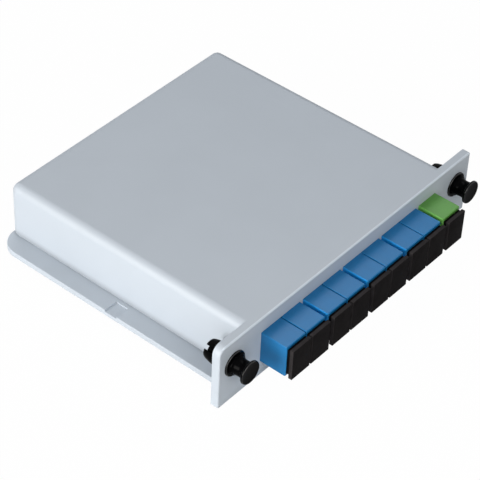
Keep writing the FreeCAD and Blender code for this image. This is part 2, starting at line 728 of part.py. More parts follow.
def build_ferrules():
    """Nine ceramic ferrules with a bevelled nose, in one node."""
    ferrules = []
    for index in range(PORTS):
        body = document.addObject("PartDesign::Body", f"ferrule_{index + 1}")
        for letter, formula in zip("xyz", (port_x(index), PANEL_FRONT, PORT_HEIGHT)):
            bind(body, f"Placement.Base.{letter}", formula)
        side = sketch_on(body, f"ferrule_side_{index + 1}", "XY_Plane")
        outline(side, [
            ("0", ADAPTER_MIDDLE),
            ("ferrule_radius * 0.6", ADAPTER_MIDDLE),
            ("ferrule_radius", f"{ADAPTER_MIDDLE} + 0.6"),
            ("ferrule_radius", f"{ADAPTER_MIDDLE} + ferrule_length"),
            ("0", f"{ADAPTER_MIDDLE} + ferrule_length"),
        ])
        revolve(body, side)
        ferrules.append(body)
    group_node("ferrules", ferrules)


def group_node(label, members):
    """Several like solids as one named node."""
    group = document.addObject("Part::Compound", label)
    group.Links = members
    group.Label = label
    pieces.append(group)


def build_connector(index):
    """Inner SC connector with its strain relief, plugged in from behind."""
    body = at_port(f"inner_connector_{index + 1}", index)
    tag = index + 1
    nose = f"({ADAPTER_MIDDLE} + connector_start)"
    section = sketch_on(body, f"connector_section_{tag}", "XZ_Plane", nose)
    centred_rectangle(
        section, "socket_width - 2 * connector_clearance", "socket_height - 2 * connector_clearance"
    )
    pad(body, section, "connector_length", reverse=True)
    relief = sketch_on(body, f"strain_relief_{tag}", "XY_Plane")
    outline(relief, [
        ("boot_bore", BOOT_START),
        ("boot_radius", BOOT_START),
        ("boot_tip", f"{BOOT_START} + boot_length"),
        ("boot_bore", f"{BOOT_START} + boot_length"),
    ])
    revolve(body, relief)
    mouth = sketch_on(body, f"connector_mouth_{tag}", "XZ_Plane", nose)
    circle(mouth, "0", "0", "connector_bore")
    pocket(body, mouth, "connector_bore_depth")
    grooves = sketch_on(body, f"latch_grooves_{tag}", "XZ_Plane", nose)
    for side in ("-1", "1"):
        rectangle(
            grooves, "-hook_width / 2 - 0.2", "hook_width / 2 + 0.2",
            f"{side} * (hook_height - hook_thickness / 2 - 0.2)",
            f"{side} * socket_height / 2",
        )
    pocket(body, grooves, "hook_length")
    seat = sketch_on(body, f"ferrule_seat_{tag}", "XZ_Plane", f"{nose} + connector_bore_depth")
    circle(seat, "0", "0", "ferrule_radius")
    pocket(body, seat, "ferrule_length - connector_bore_depth - connector_start")


def build_cap(index):
    """Dust cap: bevelled face plate on a hollow square plug."""
    body = at_port(f"dust_cap_{index + 1}", index)
    tag = index + 1
    front = "-(adapter_reach + cap_gap + cap_plate)"
    face = sketch_on(body, f"cap_face_{tag}", "XZ_Plane", front)
    centred_rectangle(face, "cap_width", "cap_height", "cap_rise")
    plate = pad(body, face, "cap_plate", reverse=True)
    corners = fillet(body, plate, "cap_bevel + cap_round", lambda edge: runs_along(edge, "y"))
    chamfer(body, corners, "cap_bevel", lambda edge: lies_at(edge, y=front))
    shoulder = sketch_on(body, f"cap_shoulder_{tag}", "XZ_Plane", "-(adapter_reach + cap_gap)")
    centred_rectangle(
        shoulder, "socket_width + 2 * cap_shoulder", "socket_height + 2 * cap_shoulder"
    )
    pad(body, shoulder, "cap_gap", reverse=True)
    plug = sketch_on(body, f"cap_plug_{tag}", "XZ_Plane", "-adapter_reach")
    centred_rectangle(
        plug, "socket_width - 2 * plug_clearance", "socket_height - 2 * plug_clearance"
    )
    pad(body, plug, "plug_depth", reverse=True)
    hollow = sketch_on(body, f"cap_hollow_{tag}", "XZ_Plane", "-adapter_reach + plug_depth")
    centred_rectangle(
        hollow,
        "socket_width - 2 * (plug_clearance + plug_wall)",
        "socket_height - 2 * (plug_clearance + plug_wall)",
    )
    pocket(body, hollow, "plug_depth + cap_gap", reverse=True)


# ---------------------------------------------------------------- latches
def at_latch(label, side):
    """A piece whose own origin is the latch axis at the panel's front face."""
    place = f"{side} * (box_width / 2 + latch_offset)"
    return new_body(label, place, PANEL_FRONT, "latch_height")


def build_grommet(name, side):
    """Collar, barrel and four split legs that hold in the panel."""
    body = at_latch(f"latch_grommet_{name}", side)
    section = sketch_on(body, f"grommet_section_{name}", "XY_Plane")
    leg_start = "panel_thickness"
    leg_end = "(panel_thickness + leg_length)"
    guide_end = "(-grommet_collar + guide_length)"
    outline(section, [
        ("guide_radius", "-grommet_collar"),
        ("grommet_flange - 0.4", "-grommet_collar"),
        ("grommet_flange", "-grommet_collar + 0.4"),
        ("grommet_flange", "0"),
        ("latch_bore - grommet_fit", "0"),
        ("latch_bore - grommet_fit", leg_start),
        ("leg_radius", leg_start),
        ("leg_radius", f"{leg_start} + leg_cylinder"),
        ("leg_tip", leg_end),
        ("leg_bore", leg_end),
        ("leg_bore", guide_end),
        ("guide_radius", guide_end),
    ])
    revolve(body, section)
    slits = sketch_on(body, f"grommet_slits_{name}", "XZ_Plane", leg_start)
    cross_outline(slits, "leg_slit / 2", "leg_radius + 1")
    pocket(body, slits, "leg_length")


def build_plunger(name, side):
    """Spool knob on a shaft whose head spreads the legs."""
    body = at_latch(f"latch_plunger_{name}", side)
    section = sketch_on(body, f"plunger_section_{name}", "XY_Plane")
    base = "(-grommet_collar - plunger_rest)"
    front = f"({base} - knob_length)"
    waist_start = f"({front} + knob_cap_edge)"
    waist_end = f"({base} - knob_flange_edge)"
    head_start = "(-grommet_collar + guide_length + plunger_travel + plunger_stop)"
    waist = f"({waist_end} - {waist_start})"
    curve = f"(({waist} * {waist} / 4 + knob_flare * knob_flare) / (2 * knob_flare))"
    shaft = "(guide_radius - plunger_fit)"
    outline(section, [
        ("0", front),
        ("knob_cap - knob_round", front, "knob_round", 1),
        ("knob_cap", f"{front} + knob_round"),
        ("knob_cap", waist_start),
        ("knob_waist + knob_flare", waist_start, curve, -1),
        ("knob_waist + knob_flare", waist_end),
        ("knob_flange", waist_end),
        ("knob_flange", base),
        (shaft, base),
        (shaft, head_start),
        ("plunger_head", head_start),
        ("plunger_head", f"{head_start} + plunger_head_length - 0.8"),
        ("plunger_head - 0.8", f"{head_start} + plunger_head_length"),
        ("0", f"{head_start} + plunger_head_length"),
    ])
    revolve(body, section)


def build_latches():
    """Grommet and plunger of the two push-pull latches."""
    for name, side in (("left", "-1"), ("right", "1")):
        build_grommet(name, side)
        build_plunger(name, side)


# ---------------------------------------------------------------- splitter and fibres
def build_module():
    """Steel tube with the splitter chip, sealed, and its two end boots."""
    body = new_body("splitter_module", "module_right", MODULE_Y, PORT_HEIGHT)
    section = sketch_on(body, "module_section", "YZ_Plane", "-module_length")
    centred_rectangle(section, "module_width", "module_height")
    tube = pad(body, section, "module_length")
    fillet(body, tube, "module_edge", lambda edge: runs_along(edge, "x"))
    for name, place, level in (
        ("output", "module_right", "0"),
        ("input", "module_right - module_length", "-module_boot"),
    ):
        boot = new_body(f"module_boot_{name}", place, MODULE_Y, PORT_HEIGHT)
        end = sketch_on(boot, f"boot_section_{name}", "YZ_Plane", level)
        centred_rectangle(end, "module_width - 2 * module_inset", "module_height - 0.2")
        block = pad(boot, end, "module_boot")
        fillet(boot, block, "module_edge", lambda edge: runs_along(edge, "x"))


def rounded_path(points, radii):
    """Wire of straight runs joined by tangent arcs, and its length."""
    edges = []
    spot = points[0]
    for before, corner, after, radius in zip(points, points[1:], points[2:], radii):
        inward = (before - corner).normalize()
        outward = (after - corner).normalize()
        half_turn = (math.pi - inward.getAngle(outward)) / 2
        cut = radius * math.tan(half_turn)
        start = corner + inward * cut
        end = corner + outward * cut
        centre_way = (inward + outward).normalize()
        middle = corner + centre_way * (radius / math.cos(half_turn) - radius)
        if (start - spot).Length > 1e-6:
            edges.append(Part.LineSegment(spot, start).toShape())
        edges.append(Part.Arc(start, middle, end).toShape())
        spot = end
    edges.append(Part.LineSegment(spot, points[-1]).toShape())
    wire = Part.Wire(edges)
    return wire, sum(edge.Length for edge in edges)


def build_fibre(label, corners, radii):
    """Round fibre along a rounded path."""
    points = [FreeCAD.Vector(*corner) for corner in corners]
    wire, length = rounded_path(points, radii)
    radius = value("fibre_radius")
    start = (points[1] - points[0]).normalize()
    ring = Part.Wire([Part.makeCircle(radius, points[0], start)])
    tube = wire.makePipeShell([ring], True, False)
    expected = math.pi * radius * radius * length
    if abs(tube.Volume - expected) > 0.01 * expected:
        raise RuntimeError(f"{label}: volume {tube.Volume:.2f}, expected {expected:.2f}")
    print(f"{label}: {length:.0f} mm long, smallest bend {min(radii):.1f} mm")
    piece = document.addObject("Part::Feature", label)
    piece.Shape = tube
    piece.Label = label
    pieces.append(piece)


# The outputs, from 0, that leave the loop early, below its centre
EARLY_OUTPUTS = (5, 6, 7)


def build_output_fibre(index):
    """Fibre from the module round the output drum into one connector."""
    lane = value("lane_radius") + (index // 2) * value("lane_pitch")
    port = value(port_x(index))
    height = value(PORT_HEIGHT)
    level = height + (value("level_pitch") if index % 2 == 0 else 0.0)
    centre_x = value(LANE_CENTRE_X)
    centre_y = value(LANE_CENTRE_Y)
    side = centre_x + lane
    relief = value(f"{PANEL_FRONT} + {BOOT_START} + boot_length")
    entry = relief - value("fibre_entry")
    corners = [(value("module_right + module_boot"), centre_y + lane, level),
               (side, centre_y + lane, level)]
    radii = [lane]
    turn = value("port_turn")
    if index in EARLY_OUTPUTS:
        turn = value("early_turn")
        on_side = value(f"early_side_{index}")
        above_port = value(f"early_port_{index}")
        corners += [(side, centre_y - on_side, level), (port, centre_y - above_port, level)]
        radii += [turn, turn]
    else:
        corners += [(side, centre_y - lane, level), (port, centre_y - lane, level)]
        radii += [lane, turn]
    if level > height:
        corners += [(port, relief + value("level_start"), level),
                    (port, relief + value("level_end"), height)]
        radii += [value("level_turn"), value("level_turn") / 2]
    corners.append((port, entry, height))
    build_fibre(f"output_fibre_{index + 1}", corners, radii)


def build_input_fibre():
    """Fibre from the right-hand port round the small drums into the module."""
    port = value(port_x(PORTS - 1))
    height = value(PORT_HEIGHT)
    level = height - value("level_pitch")
    bend = value("input_radius")
    left = value(INPUT_X) - bend
    lane = value(INPUT_LANE_Y)
    rear = value(MODULE_Y)
    relief = value(f"{PANEL_FRONT} + {BOOT_START} + boot_length")
    corners = [
        (value("module_right - module_length - module_boot"), rear, level),
        (left, rear, level),
        (left, lane, level),
        (port, lane, level),
        (port, relief + value("level_start"), level),
        (port, relief + value("level_end"), height),
        (port, relief - value("fibre_entry"), height),
    ]
    change = value("level_turn")
    build_fibre("input_fibre", corners, [bend, bend, value("port_turn"), change, change])


# ---------------------------------------------------------------- the whole part
def build():
    """Build every piece of the cassette."""
    build_shell()
    build_tray()
    build_screws()
    for index in range(PORTS):
        build_adapter(index)
        build_insert(index)
        build_connector(index)
        build_cap(index)
    build_sleeves()
    build_ferrules()
    build_latches()
    build_module()
    for index in range(OUTPUTS):
        build_output_fibre(index)
    build_input_fibre()
    document.recompute()


def check():
    """Stop if any object failed, cut nothing or has no sound shape."""
    for item in document.Objects:
        if "Invalid" in item.State or "Error" in item.State:
            raise RuntimeError(f"{item.Label}: {item.State}")
        if item.TypeId in ("PartDesign::Pocket", "PartDesign::Groove"):
            if item.Shape.Volume > item.BaseFeature.Shape.Volume - 1e-3:
                raise RuntimeError(f"{item.Label} cuts nothing")
        if item.TypeId == "PartDesign::Pad" and item.BaseFeature:
            if item.Shape.Volume < item.BaseFeature.Shape.Volume + 1e-3:
                raise RuntimeError(f"{item.Label} adds nothing")
    for piece in pieces:
        if piece.Shape.isNull() or not piece.Shape.isValid():
            raise RuntimeError(f"{piece.Label} has no valid shape")


def write():
    """Write one STEP file for each piece."""
    os.makedirs("parts", exist_ok=True)
    for piece in pieces:
        piece.Shape.exportStep(os.path.join("parts", piece.Label + ".step"))
    print(f"{len(pieces)} pieces written")


sheet = make_sheet()
build()
check()
write()
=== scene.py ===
"""Finishes, small pieces, light and camera of a plug-in fibre splitter cassette.

Everything is in metres in the part's own frame: +X runs along the front panel towards
the green adapter, +Y from the panel to the back of the box, and +Z up from the
underside of the base tray.
"""
import json
import logging
import math
from dataclasses import dataclass, field
from enum import Enum, StrEnum
from typing import Any, Callable, Sequence, Union

import bmesh
import bpy
from mathutils import Matrix, Vector


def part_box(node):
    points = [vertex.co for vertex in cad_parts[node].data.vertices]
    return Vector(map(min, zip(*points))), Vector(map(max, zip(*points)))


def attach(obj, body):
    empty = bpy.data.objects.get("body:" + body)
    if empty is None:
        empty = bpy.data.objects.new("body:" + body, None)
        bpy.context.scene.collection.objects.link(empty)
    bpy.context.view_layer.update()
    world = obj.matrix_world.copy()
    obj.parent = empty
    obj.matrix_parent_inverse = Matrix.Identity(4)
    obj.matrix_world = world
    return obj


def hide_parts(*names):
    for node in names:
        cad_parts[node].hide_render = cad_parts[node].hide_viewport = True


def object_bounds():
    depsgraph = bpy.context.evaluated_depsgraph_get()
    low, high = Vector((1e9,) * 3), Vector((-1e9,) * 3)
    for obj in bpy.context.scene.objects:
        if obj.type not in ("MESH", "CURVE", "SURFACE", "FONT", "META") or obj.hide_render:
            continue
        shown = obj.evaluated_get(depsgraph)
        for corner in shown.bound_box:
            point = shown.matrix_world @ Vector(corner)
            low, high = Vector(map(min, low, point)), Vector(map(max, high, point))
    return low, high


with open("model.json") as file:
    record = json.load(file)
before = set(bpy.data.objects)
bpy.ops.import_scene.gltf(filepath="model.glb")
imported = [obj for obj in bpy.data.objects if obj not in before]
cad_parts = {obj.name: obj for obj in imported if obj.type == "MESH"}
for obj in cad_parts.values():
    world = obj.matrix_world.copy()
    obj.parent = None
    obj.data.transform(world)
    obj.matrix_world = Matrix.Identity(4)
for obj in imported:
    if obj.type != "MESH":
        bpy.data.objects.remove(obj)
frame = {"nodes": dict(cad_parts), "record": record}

bpy.context.view_layer.update()
CAD_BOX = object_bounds()
MM = 0.001
PORTS = 9
PAIR_PITCH = 20.4 * MM      # from one pair of adapters to the next
GAP_SIDE = -24.85 * MM      # the second pair's left side

Colour = tuple[float, float, float]
Number = Union[float, int]
Station = tuple[float, float]   # across and along a turned piece's axis, in metres
Owner = Union[bpy.types.Material, bpy.types.World]
log = logging.getLogger("cassette")


# ------------------------------------------------------------------ shader building
class Signal:
    """A shader value that Python's operators turn into Math nodes."""

    def __init__(self, graph: "Graph", socket: bpy.types.NodeSocket) -> None:
        """Wrap one output socket.

        Args:
            graph: The node graph that the socket belongs to.
            socket: The output socket.
        """
        self.graph = graph
        self.socket = socket

    def _join(self, operation: str, first: Any, second: Any = None) -> "Signal":
        """Add one Math node.

        Args:
            operation: The Math node's operation.
            first: Its first value or signal.
            second: Its second value or signal, if the operation has one.

        Returns:
            The result as a new signal.
        """
        values = {0: first} if second is None else {0: first, 1: second}
        return self.graph.signal("ShaderNodeMath", {"operation": operation}, values)

    def __add__(self, other: Any) -> "Signal":
        """Return self + other."""
        return self._join("ADD", self, other)

    def __radd__(self, other: Any) -> "Signal":
        """Return other + self."""
        return self._join("ADD", other, self)

    def __sub__(self, other: Any) -> "Signal":
        """Return self - other."""
        return self._join("SUBTRACT", self, other)

    def __rsub__(self, other: Any) -> "Signal":
        """Return other - self."""
        return self._join("SUBTRACT", other, self)

    def __mul__(self, other: Any) -> "Signal":
        """Return self * other."""
        return self._join("MULTIPLY", self, other)

    def __rmul__(self, other: Any) -> "Signal":
        """Return other * self."""
        return self._join("MULTIPLY", other, self)

    def __truediv__(self, other: Any) -> "Signal":
        """Return self / other."""
        return self._join("DIVIDE", self, other)

    def __rtruediv__(self, other: Any) -> "Signal":
        """Return other / self."""
        return self._join("DIVIDE", other, self)

    def higher(self, other: Any) -> "Signal":
        """Return the larger of self and other."""
        return self._join("MAXIMUM", self, other)

    def size(self) -> "Signal":
        """Return self without its sign."""
        return self._join("ABSOLUTE", self)

    def sine(self) -> "Signal":
        """Return the sine of self."""
        return self._join("SINE", self)

    def ramp(self, low: Number, high: Number) -> "Signal":
        """Turn the value into a soft step.

        Args:
            low: The value up to which the step is 0.
            high: The value from which it is 1.

        Returns:
            The step.
        """
        settings = {"interpolation_type": "SMOOTHSTEP"}
        values = {"Value": self, "From Min": low, "From Max": high}
        return self.graph.signal("ShaderNodeMapRange", settings, values)


class Graph:
    """The node graph of one material or of the surround."""

    def __init__(self, owner: Owner) -> None:
        """Empty the graph of a new material or world.

        Args:
            owner: The material or world.
        """
        self.owner = owner
        self.owner.use_nodes = True
        self.nodes = self.owner.node_tree.nodes
        self.links = self.owner.node_tree.links
        self.nodes.clear()

    def node(self, kind: str, settings: dict[str, Any] | None = None,
             values: dict | None = None) -> bpy.types.Node:
        """Add a node of any type.

        Args:
            kind: The node's type, as bpy names it.
            settings: The node's own properties, set first.
            values: Input name or number to a value, a signal or a socket.

        Returns:
            The new node.
        """
        made = self.nodes.new(kind)
        for key, setting in (settings or {}).items():
            setattr(made, key, setting)
        for key, value in (values or {}).items():
            if isinstance(value, Signal):
                self.links.new(value.socket, made.inputs[key])
            elif isinstance(value, bpy.types.NodeSocket):
                self.links.new(value, made.inputs[key])
            else:
                made.inputs[key].default_value = value
        return made

    def signal(self, kind: str, settings: dict[str, Any] | None = None,
               values: dict | None = None, output: int | str = 0) -> Signal:
        """Add a node and wrap one of its outputs.

        Args:
            kind: The node's type.
            settings: The node's own properties.
            values: The node's inputs.
            output: Name or number of the output to wrap.

        Returns:
            The output as a signal.
        """
        return Signal(self, self.node(kind, settings, values).outputs[output])

    def place(self, stretch: Sequence[float] = (1.0, 1.0, 1.0)) -> Signal:
        """Read the place on the object, stretched along its axes.

        Args:
            stretch: Scale along X, Y and Z.

        Returns:
            The place as a vector signal.
        """
        spot = self.signal("ShaderNodeTexCoord", output="Object")
        return self.signal("ShaderNodeMapping", {"vector_type": "POINT"},
                           {"Vector": spot, "Scale": tuple(stretch)})

    def parts(self, vector: Any) -> tuple[Signal, Signal, Signal]:
        """Split a vector.

        Args:
            vector: A vector signal or socket.

        Returns:
            Its X, Y and Z.
        """
        split = self.node("ShaderNodeSeparateXYZ", None, {"Vector": vector})
        return tuple(Signal(self, output) for output in split.outputs)

    def facing(self) -> tuple[Signal, Signal, Signal]:
        """Return the X, Y and Z of the way that the surface faces."""
        return self.parts(self.signal("ShaderNodeTexCoord", output="Normal"))

    def noise(self, size: float, detail: float = 2.0, rough: float = 0.5,
              stretch: Sequence[float] = (1.0, 1.0, 1.0)) -> Signal:
        """Add soft noise between 0 and 1.

        Args:
            size: The size of its features, in metres.
            detail: How many finer layers it has.
            rough: How strong the finer layers are.
            stretch: Scale along X, Y and Z.

        Returns:
            The noise's value.
        """
        values = {"Vector": self.place(stretch), "Scale": 1.0 / size, "Detail": detail,
                  "Roughness": rough}
        settings = {"noise_dimensions": "3D"}
        return self.signal("ShaderNodeTexNoise", settings, values, "Fac")

    def blend(self, factor: Signal, first: Colour, second: Colour) -> Signal:
        """Mix two colours.

        Args:
            factor: 0 gives the first colour and 1 the second.
            first: A linear colour.
            second: A linear colour.

        Returns:
            The mixed colour.
        """
        settings = {"data_type": "RGBA", "clamp_factor": True}
        mixed = self.node("ShaderNodeMix", settings, {0: factor})
        mixed.inputs[6].default_value = (*first, 1.0)
        mixed.inputs[7].default_value = (*second, 1.0)
        return Signal(self, mixed.outputs[2])

    def lighten(self, colour: Signal, by: Signal) -> Signal:
        """Brighten a colour in proportion to itself.

        Args:
            colour: The colour.
            by: 0 leaves it as it is and 1 doubles it.

        Returns:
            The brighter colour.
        """
        return self.signal("ShaderNodeVectorMath", {"operation": "SCALE"},
                           {"Vector": colour, "Scale": by + 1.0})

    def bump(self, height: Signal, depth: float) -> Signal:
        """Turn a height between 0 and 1 into a normal.

        Args:
            height: The height signal.
            depth: Metres from height 0 to height 1.

        Returns:
            The bent normal.
        """
        values = {"Strength": 1.0, "Distance": depth, "Height": height}
        return self.signal("ShaderNodeBump", None, values, "Normal")

    def finish(self, surface: bpy.types.NodeSocket) -> Owner:
        """Connect the surface.

        Args:
            surface: The last shader's output.

        Returns:
            The finished material or world.
        """
        world = isinstance(self.owner, bpy.types.World)
        kind = "ShaderNodeOutputWorld" if world else "ShaderNodeOutputMaterial"
        self.node(kind, None, {"Surface": surface})
        return self.owner


def tinted(colour: Colour, by: float) -> Colour:
    """Return the colour made lighter or darker by a share of itself."""
    return tuple(min(1.0, channel * (1.0 + by)) for channel in colour)


# ------------------------------------------------------------------ finishes
# Where soft steps start and end, as places along one axis.
TRAY_SEAM = (2.02 * MM, 2.08 * MM)          # up, over the tray's rails
FOOT_BAND = (2.1 * MM, 5.4 * MM)            # up, where the painted shade at the walls' foot fades
BOX_WALLS = (-48.0 * MM, -47.4 * MM)        # back, behind the panel
INNER_ADAPTERS = (-44.0 * MM, -43.0 * MM)   # across, past the first adapter's left side
PLATE_BACK = (-62.5 * MM, -62.2 * MM)       # back, behind a cap's plate
KNOB_BACK = (-56.95 * MM, -56.75 * MM)      # back, behind a knob's disc
COLLAR_FRONT = (-51.9 * MM, -51.8 * MM)     # back, in front of a collar
COLLAR_BACK = (-51.4 * MM, -51.3 * MM)      # back, behind a collar's rim
# Where soft steps start and end, as shares of a direction, a wave or a noise.
FACES_LEFT = (0.7, 0.9)
FACES_FRONT = (0.9, 0.98)
OFF_BARREL = (0.08, 0.3)
FLAT_END = (0.93, 0.99)
OFF_AXIS = (0.03, 0.2)
NEAR_GAP = (0.2, 0.6)
CLOUDY = (0.25, 0.75)
STAINED = (0.3, 0.75)


@dataclass(frozen=True)
class MouldedPlastic:
    """Injection-moulded plastic with a fine eroded grain and faint flow marks.

    Six fields paint light and shade into the colour, each as a share of the colour itself
    at the place that its own method finds: a painted highlight along the panel's upper
    front edge and on the roundings, painted light on the adapters' left sides in the gap
    between pairs, and painted shade at the walls' foot, on faces that point to the front
    and behind a cap's plate. They stand in for light and shade, not for wear or dirt, and
    at 0 the plastic has its plain colour all over.
    """

    name: str
    colour: Colour
    roughness: float
    grain: float = 0.35 * MM
    grain_depth: float = 0.004 * MM
    mottle: float = 0.02
    mottle_size: float = 14.0 * MM
    flow: float = 0.0
    flow_size: float = 4.0 * MM
    flow_stretch: Sequence[float] = (1.0, 0.2, 1.0)
    roughness_spread: float = 0.06
    specular: float = 0.5
    coat: float = 0.0
    rim_coat: float = 0.0
    coat_roughness: float = 0.1
    sink_depth: float = 0.0
    # A painted highlight line along the panel's upper front edge: its share, then where it
    # lies.
    painted_edge_highlight: float = 0.0
    line_back: float = -51.15 * MM
    line_top: float = 22.95 * MM
    line_reach: float = 0.75 * MM
    line_core: float = 0.6
    # Painted shade at the walls' foot.
    painted_foot_shade: float = 0.0
    # Painted highlight on the roundings.
    painted_rounding_highlight: float = 0.0
    # Painted light on the adapters' left sides in the gap between pairs.
    painted_gap_light: float = 0.0
    # Painted shade on faces that point to the front.
    painted_front_shade: float = 0.0
    # Painted shade behind a cap's plate.
    painted_plug_shade: float = 0.0

    def front_line(self, graph: Graph) -> Signal:
        """Find a thin line along the panel's upper front edge, where a highlight is
        painted.

        Args:
            graph: The material's graph.

        Returns:
            1 on the edge's rounding and 0 away from it.
        """
        _, along, up = graph.parts(graph.place())
        away = ((along - self.line_back) / MM).higher((self.line_top - up) / MM)
        reach = self.line_reach / MM
        return (reach - away).ramp(0.0, reach * self.line_core)

    def foot(self, graph: Graph) -> Signal:
        """Find the foot of the box's walls, over the tray's seam, where shade is painted.

        Args:
            graph: The material's graph.

        Returns:
            1 just over the seam, falling to 0 upwards and on the tray and the panel.
        """
        _, along, up = graph.parts(graph.place())
        band = up.ramp(*TRAY_SEAM) * (1.0 - up.ramp(*FOOT_BAND))
        return band * along.ramp(*BOX_WALLS)

    def gap_sides(self, graph: Graph) -> Signal:
        """Find the left sides of the adapters that face the gap between two pairs, where
        light is painted.

        Args:
            graph: The material's graph.

        Returns:
            1 on those sides and 0 elsewhere.
        """
        across = graph.parts(graph.place())[0]
        side = (graph.facing()[0] * -1.0).ramp(*FACES_LEFT)
        turns = (across - GAP_SIDE) * (2.0 * math.pi / PAIR_PITCH)
        wave = (turns + math.pi / 2.0).sine()
        return side * wave.ramp(*NEAR_GAP) * across.ramp(*INNER_ADAPTERS)

    def front(self, graph: Graph) -> Signal:
        """Return 1 on the faces that point to the front and 0 elsewhere; shade is painted
        there.
        """
        return (graph.facing()[1] * -1.0).ramp(*FACES_FRONT)

    def behind(self, graph: Graph) -> Signal:
        """Return 1 behind a cap's plate and 0 on the plate; shade is painted there."""
        return graph.parts(graph.place())[1].ramp(*PLATE_BACK)

    def rims(self, graph: Graph) -> Signal:
        """Find the rounded rims of a latch's knob and collar.

        Args:
            graph: The material's graph.

        Returns:
            1 on a rim and 0 on the ends, barrels and neck.
        """
        slope = graph.facing()[1].size()
        rounded = slope.ramp(*OFF_BARREL) * (1.0 - slope.ramp(*FLAT_END))
        along = graph.parts(graph.place())[1]
        disc = 1.0 - along.ramp(*KNOB_BACK)
        collar = (1.0 - along.ramp(*COLLAR_BACK)) * along.ramp(*COLLAR_FRONT)
        return rounded * disc.higher(collar)

    def roundings(self, graph: Graph) -> Signal:
        """Find the rounded edges between the flat sides, where a highlight is painted.

        Args:
            graph: The material's graph.

        Returns:
            1 on a rounding and 0 on a side that faces along an axis.
        """
        across, along, up = (way.size() for way in graph.facing())
        return (1.0 - across.higher(along).higher(up)).ramp(*OFF_AXIS)

    def build(self) -> bpy.types.Material:
        """Make the material.

        Returns:
            The finished material.
        """
        graph = Graph(bpy.data.materials.new(self.name))
        grain = graph.noise(self.grain, detail=3.0, rough=0.6)
        cloud = graph.noise(self.mottle_size, detail=2.0)
        flow = graph.noise(self.flow_size, detail=3.0, rough=0.6,
                           stretch=self.flow_stretch)
        shade = cloud * (1.0 - self.flow) + flow * self.flow
        colour = graph.blend(shade.ramp(*CLOUDY), tinted(self.colour, -self.mottle),
                             tinted(self.colour, self.mottle))
        # Painted highlights and painted light lighten the colour and painted shade darkens
        # it, each by a share of itself.
        for share, place in ((self.painted_edge_highlight, self.front_line),
                             (-self.painted_foot_shade, self.foot),
                             (self.painted_rounding_highlight, self.roundings),
                             (self.painted_gap_light, self.gap_sides),
                             (-self.painted_front_shade, self.front),
                             (-self.painted_plug_shade, self.behind)):
            if share:
                colour = graph.lighten(colour, place(graph) * share)
        roughness = (grain - 0.5) * self.roughness_spread + self.roughness
        roughness = roughness + (flow - 0.5) * self.roughness_spread
        coat = self.rims(graph) * self.rim_coat if self.rim_coat else self.coat
        height = grain + cloud * (self.sink_depth / self.grain_depth)
        shader = graph.node("ShaderNodeBsdfPrincipled", None, {
            "Base Color": colour,
            "Roughness": roughness,
            "Normal": graph.bump(height, self.grain_depth),
            "Specular IOR Level": self.specular,
            "Coat Weight": coat,
            "Coat Roughness": self.coat_roughness,
        })
        return graph.finish(shader.outputs[0])


@dataclass(frozen=True)
class DrawnSteel:
    """Bright metal with fine lines along one axis."""

    name: str
    colour: Colour
    roughness: float
    stretch: Sequence[float] = (0.05, 1.0, 1.0)
    line: float = 0.12 * MM
    line_spread: float = 0.12
    depth: float = 0.002 * MM
    stain_size: float = 6.0 * MM
    stain_spread: float = 0.08
    stain_tint: float = -0.12

    def build(self) -> bpy.types.Material:
        """Make the material.

        Returns:
            The finished material.
        """
        graph = Graph(bpy.data.materials.new(self.name))
        lines = graph.noise(self.line, detail=3.0, rough=0.7, stretch=self.stretch)
        stain = graph.noise(self.stain_size, detail=3.0)
        lowest = self.roughness - (self.line_spread + self.stain_spread) / 2
        colour = graph.blend(stain.ramp(*STAINED), tinted(self.colour, self.stain_tint),
                             self.colour)
        shader = graph.node("ShaderNodeBsdfPrincipled", None, {
            "Base Color": colour,
            "Metallic": 1.0,
            "Roughness": lines * self.line_spread + stain * self.stain_spread + lowest,
            "Normal": graph.bump(lines, self.depth),
        })
        return graph.finish(shader.outputs[0])


HOUSING = MouldedPlastic(
    "grey_housing_plastic", (0.50, 0.55, 0.612), 0.46, grain=0.3 * MM,
    grain_depth=0.003 * MM, mottle=0.012, mottle_size=22.0 * MM, sink_depth=0.006 * MM,
    # A painted highlight along the panel's upper front edge and painted shade at the
    # walls' foot.
    painted_edge_highlight=0.42, painted_foot_shade=0.34,
)
BLUE = MouldedPlastic(
    "blue_adapter_plastic", (0.010, 0.178, 0.44), 0.34, grain=0.5 * MM,
    grain_depth=0.002 * MM, mottle=0.05, mottle_size=5.0 * MM, flow=0.6, specular=0.3,
    # A painted highlight on the roundings and painted light on the left sides in the gap
    # between pairs.
    painted_rounding_highlight=0.1, painted_gap_light=0.9,
)
GREEN = MouldedPlastic(
    "green_adapter_plastic", (0.115, 0.34, 0.065), 0.34, grain=0.5 * MM,
    grain_depth=0.002 * MM, mottle=0.05, mottle_size=5.0 * MM, flow=0.6, specular=0.34,
    # A painted highlight on the roundings and painted light on the left sides in the gap
    # between pairs.
    painted_rounding_highlight=0.12, painted_gap_light=0.7,
)
CAP_BLACK = MouldedPlastic(
    "black_cap_plastic", (0.037, 0.0335, 0.035), 0.42, grain=0.4 * MM,
    grain_depth=0.004 * MM, mottle=0.12, mottle_size=4.0 * MM, specular=0.006,
    # Painted shade on the faces that point to the front and behind the plate.
    painted_front_shade=0.66, painted_plug_shade=0.8,
)
LATCH_BLACK = MouldedPlastic(
    "black_latch_nylon", (0.0015, 0.0015, 0.0018), 0.12, grain=0.6 * MM,
    grain_depth=0.001 * MM, mottle=0.1, mottle_size=3.0 * MM, specular=0.02,
    roughness_spread=0.03, rim_coat=0.9,
)
INSERT_WHITE = MouldedPlastic(
    "white_insert_plastic", (0.72, 0.72, 0.68), 0.4, grain=0.4 * MM, mottle=0.03,
    mottle_size=3.0 * MM,
)
